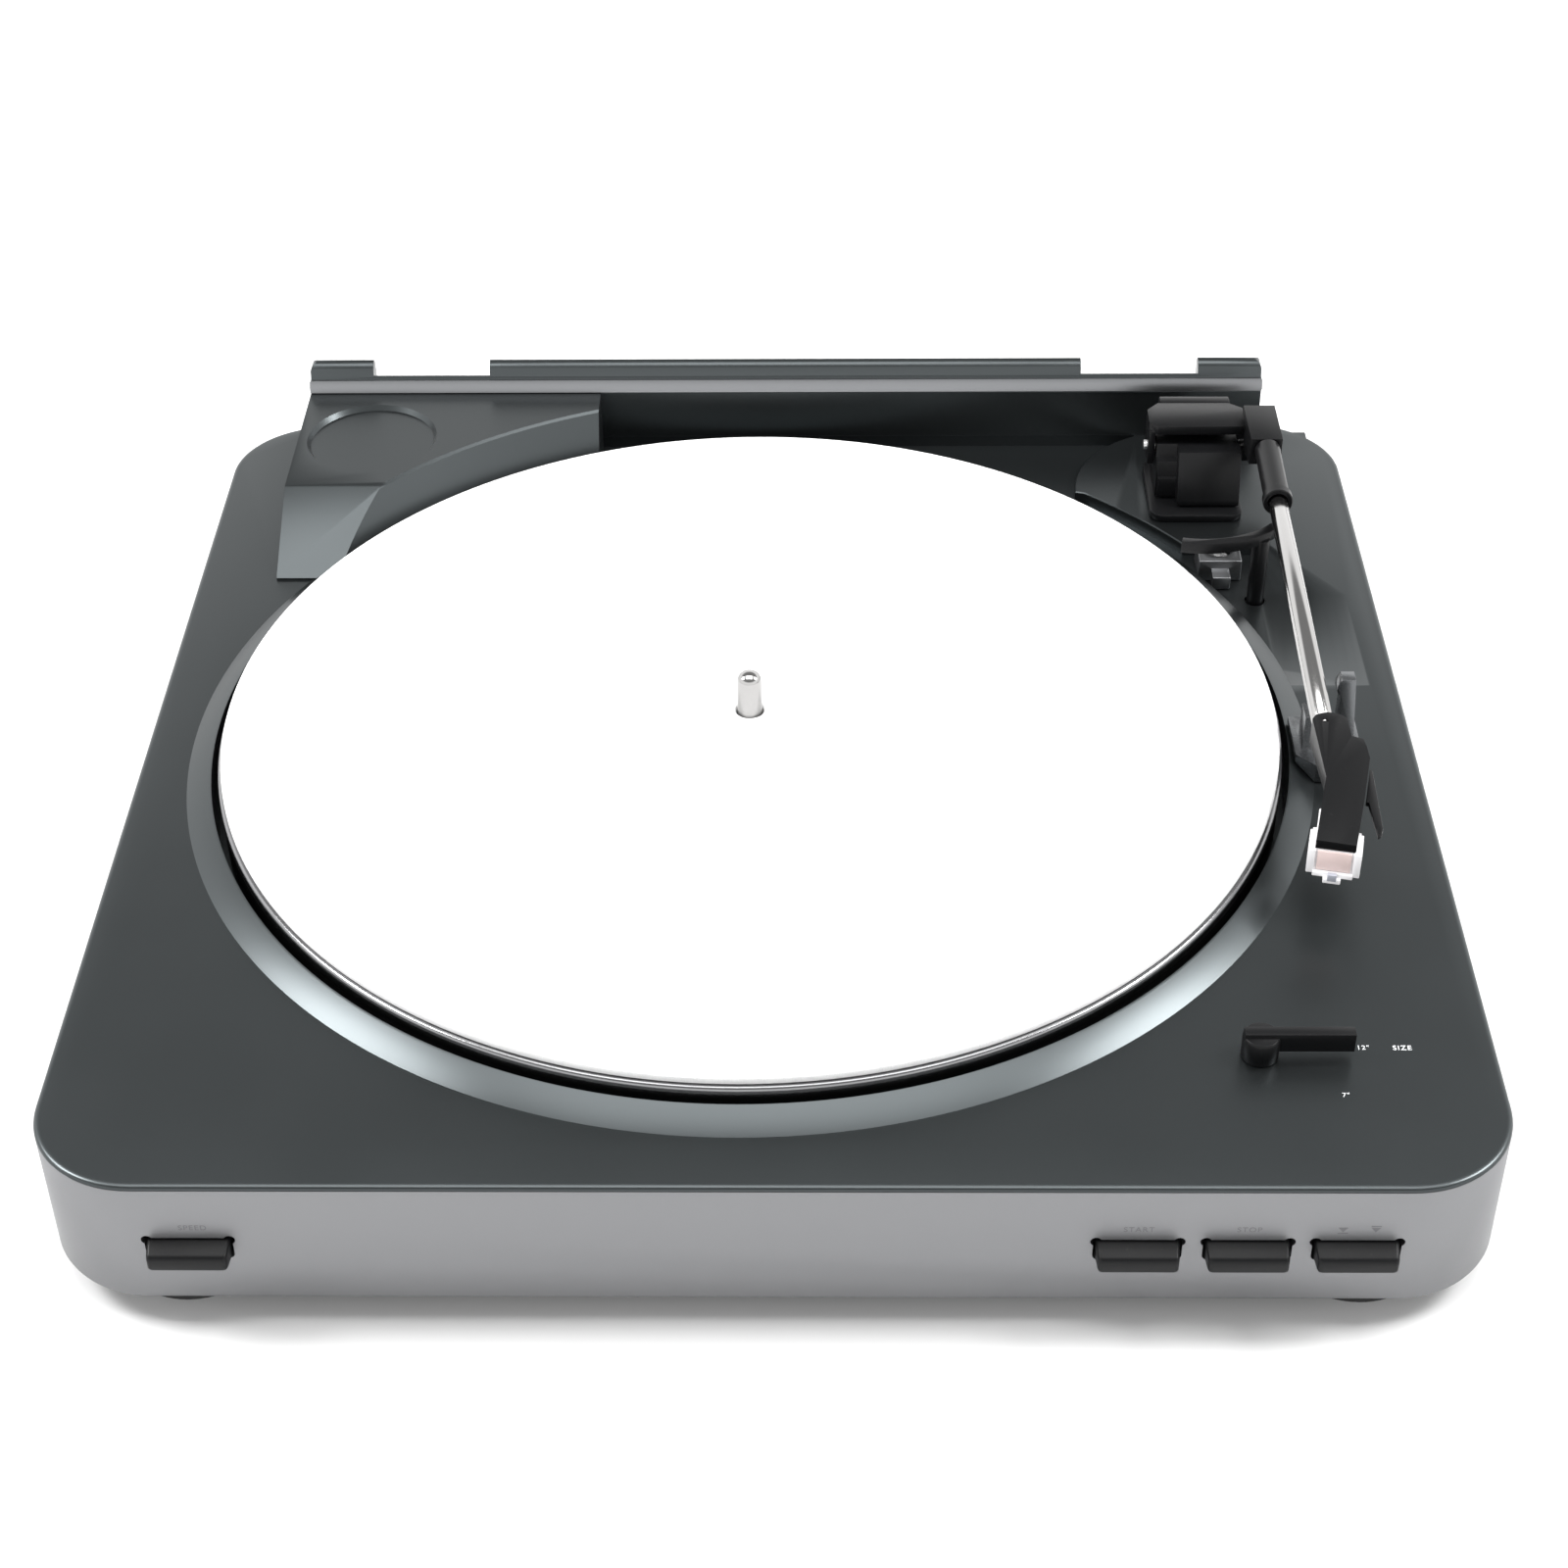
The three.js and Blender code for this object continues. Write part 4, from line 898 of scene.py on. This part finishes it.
class PLAYER_OT_headshell(bpy.types.Operator):
    """Builds the one-piece headshell and its finger lift"""

    bl_idname = "player.headshell"
    bl_label = "Headshell"

    def execute(self, context):
        x, y = arm_x(HEAD_BACK), HEAD_BACK
        across, along = 5.2 * math.cos(HEAD_LEAN), 5.2 * math.sin(HEAD_LEAN)
        tip_x, tip_y = x - HEAD_TIP[0], y - HEAD_TIP[1]
        plan = [
            (x - 3.4, y - 2.6), (x - 2.4, y - 1.1), (x - 0.7, y - 0.3), (x + 1, y), (x + 2.8, y - 0.3),
            (x + 4.4, y - 1.0), (x + 6, y - 2.3), (x + 6.3, y - 9.2), (x + 9.2, y - 10.3),
            (x + 9.75, y - 13.2),
            (x + 10, y - 17.6), (x + 6.6, y - 32.4), (tip_x + across, tip_y - along),
            (tip_x - across, tip_y + along), (x - 2.5, y - 24.5),
        ]
        plan.reverse()
        obj = to_object("headshell_fine", prism(plan, 68.8, 80.0))
        under = [(y + 1, 68.0), (y + 1, 77.0), (tip_y, 71.3), (y - 60, 70.2), (y - 60, 68.0)]
        carve(obj, [prism_x(under, x - 20, x + 20)], "INTERSECT")
        carve(obj, [rod(on_arm(y - 3.6), on_arm(y + 10), 3.2, 48)], "DIFFERENCE")
        ease(obj, 0.4 * MM, 3, 30)
        hand_over(paint(obj, "black"), "arm", "black", "headshell")
        blade = [
            (x + 10.35, y - 18), (x + 10.9, y - 19.5), (x + 9.9, y - 43.2), (x + 9.3, y - 45.4),
            (x + 8.2, y - 46), (x + 7.8, y - 32.4), (x + 7.1, y - 32.1),
        ]
        blade.reverse()
        lift = ease(to_object("finger_lift_fine", prism(blade, 70.0, 71.6)), 0.25 * MM, 2, 30)
        hand_over(paint(lift, "black"), "arm", "black", "finger_lift")
        return {"FINISHED"}


class PLAYER_OT_cartridge(bpy.types.Operator):
    """Builds the milky cartridge, its tinted window and the stylus holder"""

    bl_idname = "player.cartridge"
    bl_label = "Cartridge"

    def execute(self, context):
        obj = to_object("cartridge_fine", head_frame(block((-5.3, 0, 60.5), (5.3, 17, 68.5))))
        ears = []
        for outer, inner in (((-6.9, -4.9), (-6.3, -5.2)), ((4.9, 6.9), (5.2, 6.3))):
            ears.append(head_frame(block((outer[0], -0.6, 60.9), (outer[1], 8.0, 68.5))))
            ears.append(head_frame(block((inner[0], 0.5, 62.5), (inner[1], 12.0, 66.0))))
        carve(obj, ears, "UNION")
        ease(obj, 0.25 * MM, 2, 30)
        hand_over(paint(obj, "milky"), "arm", "clear", "cartridge")
        window = head_frame(block((-4.4, -0.5, 62.2), (4.4, 0.1, 68.3)))
        pane = ease(to_object("cartridge_window", window), 0.12 * MM, 2, 30)
        hand_over(paint(pane, "blush"), "arm", "clear")
        holder = to_object("stylus_fine", head_frame(block((-5.2, -1.3, 60.55), (5.2, 1.0, 62.0))))
        tab = [head_frame(block((-2.3, -2.4, 59.4), (2.3, 9.0, 60.9)))]
        tab.append(head_frame(lathe(0, 1, [(0, 59.0), (0.3, 59.0), (0.6, 59.6), (0, 59.6)], 16)))
        carve(holder, tab, "UNION")
        ease(holder, 0.2 * MM, 2, 30)
        hand_over(paint(holder, "milky"), "arm", "clear", "stylus")
        nib = head_frame(block((-1.2, -2.6, 60.3), (1.2, -1.3, 62.4)))
        nib = ease(to_object("stylus_nib", nib), 0.15 * MM, 2, 30)
        hand_over(paint(nib, "grey"), "arm", "clear")
        return {"FINISHED"}


class PLAYER_OT_arm_furniture(bpy.types.Operator):
    """Builds the arm rest, the lifter, the catch in the channel and the pivot pin"""

    bl_idname = "player.arm_furniture"
    bl_label = "Rest, lifter and catch"

    def execute(self, context):
        pieces = (
            ("arm_rest", "satin", "deck", "cabinet", 0.3),
            ("arm_lifter", "black", "black", "lifter", 0.5),
            ("transport_bracket", "trim", "deck", "cabinet", 0.25),
            ("transport_screw", "steel", "steel", "cabinet", 0.2),
            ("pivot_shaft", "steel", "steel", "turret", 0.2),
        )
        for node, material, slot, body, width in pieces:
            obj = ease(to_object(f"{node}_fine", solid_copy(node)), width * MM, 2, 32)
            hand_over(paint(obj, material), body, slot, node)
        return {"FINISHED"}


# ---------------------------------------------------------------- controls


class PLAYER_OT_buttons(bpy.types.Operator):
    """Builds the push buttons with their tapered, eased noses"""

    bl_idname = "player.buttons"
    bl_label = "Push buttons"

    def execute(self, context):
        front = CABINET["front"]
        for name, x in BUTTONS.items():
            rings = []
            for y, half, low, high in (
                (12.0, 10.2, 23.2, 29.2), (0.2, 10.2, 23.2, 29.2), (-0.4, 10.0, 23.2, 29.0),
                (-3.8, 9.75, 23.3, 28.0), (-4.6, 9.55, 23.4, 27.6), (-4.9, 9.25, 23.65, 27.3),
                (-5.0, 8.9, 23.95, 26.95),
            ):
                outline = rounded(x - half, low, x + half, high, 0.9, 5)
                rings.append([(px, front + y, pz) for px, pz in outline])
            obj = to_object(f"{name}_button_fine", loft(rings))
            stop = block((x - 11.7, front + 2.9, 21.7), (x + 11.7, front + 4.5, 29.2))
            carve(obj, [stop], "UNION")
            ease(obj, 0.0, angle=35)
            hand_over(paint(obj, "black"), name, "black", f"{name}_button")
        return {"FINISHED"}


class PLAYER_OT_lever(bpy.types.Operator):
    """Builds the record-size lever"""

    bl_idname = "player.lever"
    bl_label = "Size lever"

    def execute(self, context):
        x, y = LEVER
        hub = [(0, 47.3), (4.7, 47.3), (4.7, 53.4), (4.3, 54.0), (0, 54.0)]
        obj = to_object("size_lever_fine", lathe(x, y, hub, 64))
        bar = block((x - 4.3, y - 1.55, 49.6), (x + 23.0, y + 1.55, 55.2))
        carve(obj, [bar, post(x, y, 39.0, 48.0, 2.4)], "UNION")
        ease(obj, 0.3 * MM, 2, 35)
        hand_over(paint(obj, "black"), "size", "black", "size_lever")
        return {"FINISHED"}


def printed(name, text, size, place, turn, material):
    """A word as thin raised ink."""
    curve = bpy.data.curves.new(name, "FONT")
    curve.body = text
    curve.size = size * MM
    curve.extrude = 0.03 * MM
    curve.align_x = "CENTER"
    curve.align_y = "CENTER"
    curve.space_character = 1.15
    source = bpy.data.objects.new(f"{name}_text", curve)
    bpy.context.scene.collection.objects.link(source)
    bpy.context.view_layer.update()
    graph = bpy.context.evaluated_depsgraph_get()
    mesh = bpy.data.meshes.new_from_object(source.evaluated_get(graph), depsgraph=graph)
    bpy.data.objects.remove(source)
    mesh.transform(Matrix.Translation(Vector(place) * MM) @ turn)
    obj = bpy.data.objects.new(name, mesh)
    bpy.context.scene.collection.objects.link(obj)
    clean_mesh(obj)
    hand_over(paint(obj, material), "cabinet", "silver" if material == "ink_light" else "black")


def clean_mesh(obj):
    bm = bmesh.new()
    bm.from_mesh(obj.data)
    bmesh.ops.remove_doubles(bm, verts=bm.verts, dist=1e-7)
    bmesh.ops.recalc_face_normals(bm, faces=bm.faces)
    bm.to_mesh(obj.data)
    bm.free()


class PLAYER_OT_lettering(bpy.types.Operator):
    """Prints the plain function words and the raise and lower signs"""

    bl_idname = "player.lettering"
    bl_label = "Lettering"

    def execute(self, context):
        flat = Matrix.Identity(4)
        upright = Matrix.Rotation(math.radians(90), 4, "X")
        top = CABINET["top"]
        printed("label_size", "SIZE", 2.3, (156.7, -124.9, top), flat, "ink_light")
        printed("label_twelve", '12"', 2.1, (147.0, -124.8, top), flat, "ink_light")
        printed("label_seven", '7"', 2.1, (140.4, -141.5, top), flat, "ink_light")
        for name, aside in (("speed", 1.6), ("start", 0.0), ("stop", 0.0)):
            place = (BUTTONS[name] + aside, CABINET["front"], 33.2)
            printed(f"label_{name}", name.upper(), 2.3, place, upright, "ink_dark")
        self.lift_signs()
        return {"FINISHED"}

    def lift_signs(self):
        """Two small arrowheads, one under a bar and one over a bar."""
        signs = []
        for side, bar in ((-3.9, -1.25), (3.9, 1.15)):
            x, z = BUTTONS["lift"] + side, 33.4
            level = z + bar
            arrow = [(x - 1.2, z + 0.7), (x, z - 0.9), (x + 1.2, z + 0.7)]
            low, high = level - 0.15, level + 0.15
            line = [(x - 1.2, low), (x + 1.2, low), (x + 1.2, high), (x - 1.2, high)]
            signs += [prism_y(outline, -173.03, -172.9) for outline in (arrow, line)]
        obj = to_object("label_lift", merged(*signs))
        clean_mesh(obj)
        hand_over(paint(obj, "ink_dark"), "cabinet", "black")


# ---------------------------------------------------------------- repeated pieces


def corner_tree():
    """Copies one piece to the four corners of a rectangle that may sit off centre."""
    tree = bpy.data.node_groups.new("Four corners", "GeometryNodeTree")
    for label, kind in (
        ("Geometry", "NodeSocketGeometry"), ("Half width", "NodeSocketFloat"), ("Front", "NodeSocketFloat"),
        ("Back", "NodeSocketFloat"), ("Material", "NodeSocketMaterial"),
    ):
        tree.interface.new_socket(label, in_out="INPUT", socket_type=kind)
    tree.interface.new_socket("Geometry", in_out="OUTPUT", socket_type="NodeSocketGeometry")
    source = tree.nodes.new("NodeGroupInput").outputs
    out = tree.nodes.new("NodeGroupOutput")
    grid = tree.nodes.new("GeometryNodeMeshGrid")
    grid.inputs["Vertices X"].default_value = 2
    grid.inputs["Vertices Y"].default_value = 2
    tree.links.new(math_node(tree, "MULTIPLY", source["Half width"], 2.0), grid.inputs["Size X"])
    tree.links.new(math_node(tree, "SUBTRACT", source["Back"], source["Front"]), grid.inputs["Size Y"])
    middle = math_node(tree, "MULTIPLY", math_node(tree, "ADD", source["Back"], source["Front"]), 0.5)
    offset = tree.nodes.new("ShaderNodeCombineXYZ")
    tree.links.new(middle, offset.inputs["Y"])
    shifted = tree.nodes.new("GeometryNodeTransform")
    tree.links.new(grid.outputs["Mesh"], shifted.inputs["Geometry"])
    tree.links.new(offset.outputs[0], shifted.inputs["Translation"])
    copies = tree.nodes.new("GeometryNodeInstanceOnPoints")
    tree.links.new(shifted.outputs[0], copies.inputs["Points"])
    tree.links.new(source["Geometry"], copies.inputs["Instance"])
    real = tree.nodes.new("GeometryNodeRealizeInstances")
    tree.links.new(copies.outputs[0], real.inputs[0])
    coat = tree.nodes.new("GeometryNodeSetMaterial")
    tree.links.new(real.outputs[0], coat.inputs["Geometry"])
    tree.links.new(source["Material"], coat.inputs["Material"])
    tree.links.new(coat.outputs[0], out.inputs[0])
    return tree


def at_corners(obj, tree, half_width, front, back, material):
    """Sets one piece at each corner and bakes the result."""
    step = obj.modifiers.new("corners", "NODES")
    step.node_group = tree
    values = {
        "Half width": half_width * MM, "Front": front * MM, "Back": back * MM,
        "Material": finish(material),
    }
    for item in tree.interface.items_tree:
        if item.item_type == "SOCKET" and item.in_out == "INPUT" and item.name in values:
            step[item.identifier] = values[item.name]
    settle(obj)
    obj.data.set_sharp_from_angle(angle=math.radians(35))


class PLAYER_OT_feet(bpy.types.Operator):
    """Builds the four rubber feet and the four screws of the bottom plate"""

    bl_idname = "player.feet"
    bl_label = "Feet and screws"

    def execute(self, context):
        tree = corner_tree()
        sole = [
            (0, 0.6), (15.0, 0.6), (15.6, 0), (19.5, 0), (19.85, 0.15), (20, 0.5), (20, 6.9), (19.3, 7.7),
            (0, 7.7),
        ]
        foot = to_object("feet_fine", lathe(0, 0, sole, 72))
        foot.data.shade_smooth()
        at_corners(foot, tree, 145.5, -146.6, 147.6, "rubber")
        nodes = [f"foot_{end}_{side}" for end in ("front", "rear") for side in ("left", "right")]
        hand_over(foot, "cabinet", "rubber", *nodes)
        head = [
            (0, 6.9), (1.1, 6.9), (1.3, 6.3), (2.4, 6.1), (3.0, 6.5), (3.2, 7.2), (3.2, 7.7), (1.5, 7.7),
            (1.5, 17.0), (0, 17.0),
        ]
        screw = to_object("cover_screws_fine", lathe(0, 0, head, 32))
        screw.data.shade_smooth()
        at_corners(screw, tree, 110.0, -150.0, 150.0, "steel")
        hand_over(screw, "cabinet", "steel", *[f"cover_screw_{i}" for i in (1, 2, 3, 4)])
        return {"FINISHED"}


class PLAYER_OT_inner(bpy.types.Operator):
    """Gives the rear fittings eased edges and every inner part its finish"""

    bl_idname = "player.inner"
    bl_label = "Rear fittings and inner parts"

    def execute(self, context):
        for node, body in (
            ("power_lead_gland", "cabinet"), ("audio_lead_gland", "cabinet"), ("selector_knob", "selector"),
        ):
            obj = ease(to_object(f"{node}_fine", solid_copy(node)), 0.3 * MM, 2, 35)
            hand_over(paint(obj, "black"), body, "black", node)
        finishes = {
            "bottom_plate": "black", "selector_body": "black", "spindle_bush": "brass", "hub_pinion": "nylon",
            "cam_wheel": "nylon", "cam_wheel_pin": "steel", "motor": "steel", "motor_cushion": "rubber",
            "motor_pulley": "brass", "drive_belt": "rubber", "arm_bearing_post": "steel",
            "circuit_board": "laminate", "transformer": "steel",
        }
        for node, material in finishes.items():
            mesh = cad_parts[node].data
            for i in range(len(mesh.materials)):
                mesh.materials[i] = finish(material)
        return {"FINISHED"}


# ---------------------------------------------------------------- stage


def soft_box(name, place, size, power):
    """An area light turned towards the player."""
    data = bpy.data.lights.new(name, "AREA")
    data.shape = "RECTANGLE"
    data.size, data.size_y = size
    data.energy = power
    obj = bpy.data.objects.new(name, data)
    aim = Vector((0, 0, 0.03)) - Vector(place)
    obj.matrix_world = Matrix.Translation(place) @ aim.to_track_quat("-Z", "Y").to_matrix().to_4x4()
    bpy.context.scene.collection.objects.link(obj)


def view_matrix(place, yaw, pitch, roll):
    """Where the camera stands and looks: yaw to the right, pitch down, roll about the view line."""
    ahead = Vector((math.sin(yaw) * math.cos(pitch), math.cos(yaw) * math.cos(pitch), -math.sin(pitch)))
    right = Vector((math.cos(yaw), -math.sin(yaw), 0.0))
    up = right.cross(ahead)
    across = math.cos(roll) * right + math.sin(roll) * up
    upward = -math.sin(roll) * right + math.cos(roll) * up
    turn = Matrix((across, upward, -ahead)).transposed().to_4x4()
    return Matrix.Translation(place) @ turn


class PLAYER_OT_stage(bpy.types.Operator):
    """Sets the floor, surroundings, soft boxes and camera"""

    bl_idname = "player.stage"
    bl_label = "Studio"

    def execute(self, context):
        stage = context.scene.player_stage
        context.scene.view_settings.view_transform = "Standard"
        self.make_surroundings(context.scene, stage)
        self.make_floor(context.scene)
        for name, side in (("soft_box_left", -1), ("soft_box_right", 1)):
            soft_box(name, (0.95 * side, 0.03, 0.98), (0.42, 0.46), stage.side)
        soft_box("soft_box_top", (0.0, -0.05, 1.35), (1.2, 0.8), stage.top)
        data = bpy.data.cameras.new("camera")
        data.lens = stage.lens
        data.sensor_width = 36.0
        data.clip_end = 50.0
        camera = bpy.data.objects.new("camera", data)
        context.scene.collection.objects.link(camera)
        camera.matrix_world = view_matrix((0.01404, -0.63067, 0.52986), -0.020, 0.668, -0.013)
        context.scene.camera = camera
        return {"FINISHED"}

    def make_surroundings(self, scene, stage):
        """White all round, bright near the horizon and dimmer overhead."""
        scene.world = bpy.data.worlds.new("studio")
        scene.world.use_nodes = True
        tree = scene.world.node_tree
        sky = tree.nodes["Background"]
        sky.inputs["Color"].default_value = (1.0, 1.0, 1.0, 1.0)
        direction = tree.nodes.new("ShaderNodeTexCoord")
        split = tree.nodes.new("ShaderNodeSeparateXYZ")
        tree.links.new(direction.outputs["Generated"], split.inputs[0])
        fade = range_node(tree, split.outputs["Z"], 0.46, 0.64, stage.low_sky, stage.world)
        fade.interpolation_type = "SMOOTHSTEP"
        tree.links.new(fade.outputs[0], sky.inputs["Strength"])

    def make_floor(self, scene):
        half = 4
        bm = bmesh.new()
        corners = ((-half, -half), (half, -half), (half, half), (-half, half))
        bm.faces.new([bm.verts.new((x, y, 0)) for x, y in corners])
        mesh = bpy.data.meshes.new("floor")
        bm.to_mesh(mesh)
        bm.free()
        floor = bpy.data.objects.new("floor", mesh)
        scene.collection.objects.link(floor)
        pale, _, shader, _, _ = base_material("floor_pale", 0.0, 0.0, 0.0)
        shader.inputs["Base Color"].default_value = (0.66, 0.66, 0.66, 1.0)
        shader.inputs["Roughness"].default_value = 0.9
        shader.inputs["Specular IOR Level"].default_value = 0.1
        mesh.materials.append(pale)


# ---------------------------------------------------------------- add-on

OPERATORS = (
    PLAYER_OT_cover, PLAYER_OT_wall, PLAYER_OT_rail_strip, PLAYER_OT_platter, PLAYER_OT_arm_base,
    PLAYER_OT_arm_yoke,
    PLAYER_OT_arm_tube, PLAYER_OT_headshell, PLAYER_OT_cartridge, PLAYER_OT_arm_furniture, PLAYER_OT_buttons,
    PLAYER_OT_lever, PLAYER_OT_lettering, PLAYER_OT_feet, PLAYER_OT_inner, PLAYER_OT_stage,
)
SETTINGS = (
    ("player_finish", FinishSettings), ("player_shape", ShapeSettings), ("player_stage", StageSettings),
)


class PLAYER_PT_panel(bpy.types.Panel):
    """Lists the builders and their settings"""

    bl_idname = "PLAYER_PT_panel"
    bl_label = "Record player"
    bl_space_type = "VIEW_3D"
    bl_region_type = "UI"
    bl_category = "Record player"

    def draw(self, context):
        for attribute, kind in SETTINGS:
            box = self.layout.box()
            settings = getattr(context.scene, attribute)
            for name in kind.__annotations__:
                box.prop(settings, name)
        for operator in OPERATORS:
            self.layout.operator(operator.bl_idname)


def register():
    for attribute, kind in SETTINGS:
        bpy.utils.register_class(kind)
        setattr(bpy.types.Scene, attribute, PointerProperty(type=kind))
    for operator in OPERATORS:
        bpy.utils.register_class(operator)
    bpy.utils.register_class(PLAYER_PT_panel)


def unregister():
    bpy.utils.unregister_class(PLAYER_PT_panel)
    for operator in reversed(OPERATORS):
        bpy.utils.unregister_class(operator)
    for attribute, kind in reversed(SETTINGS):
        delattr(bpy.types.Scene, attribute)
        bpy.utils.unregister_class(kind)


def main():
    register()
    make_finishes(bpy.context.scene.player_finish)
    for operator in OPERATORS:
        getattr(bpy.ops.player, operator.bl_idname.split(".")[1])()


if __name__ == "__main__":
    main()
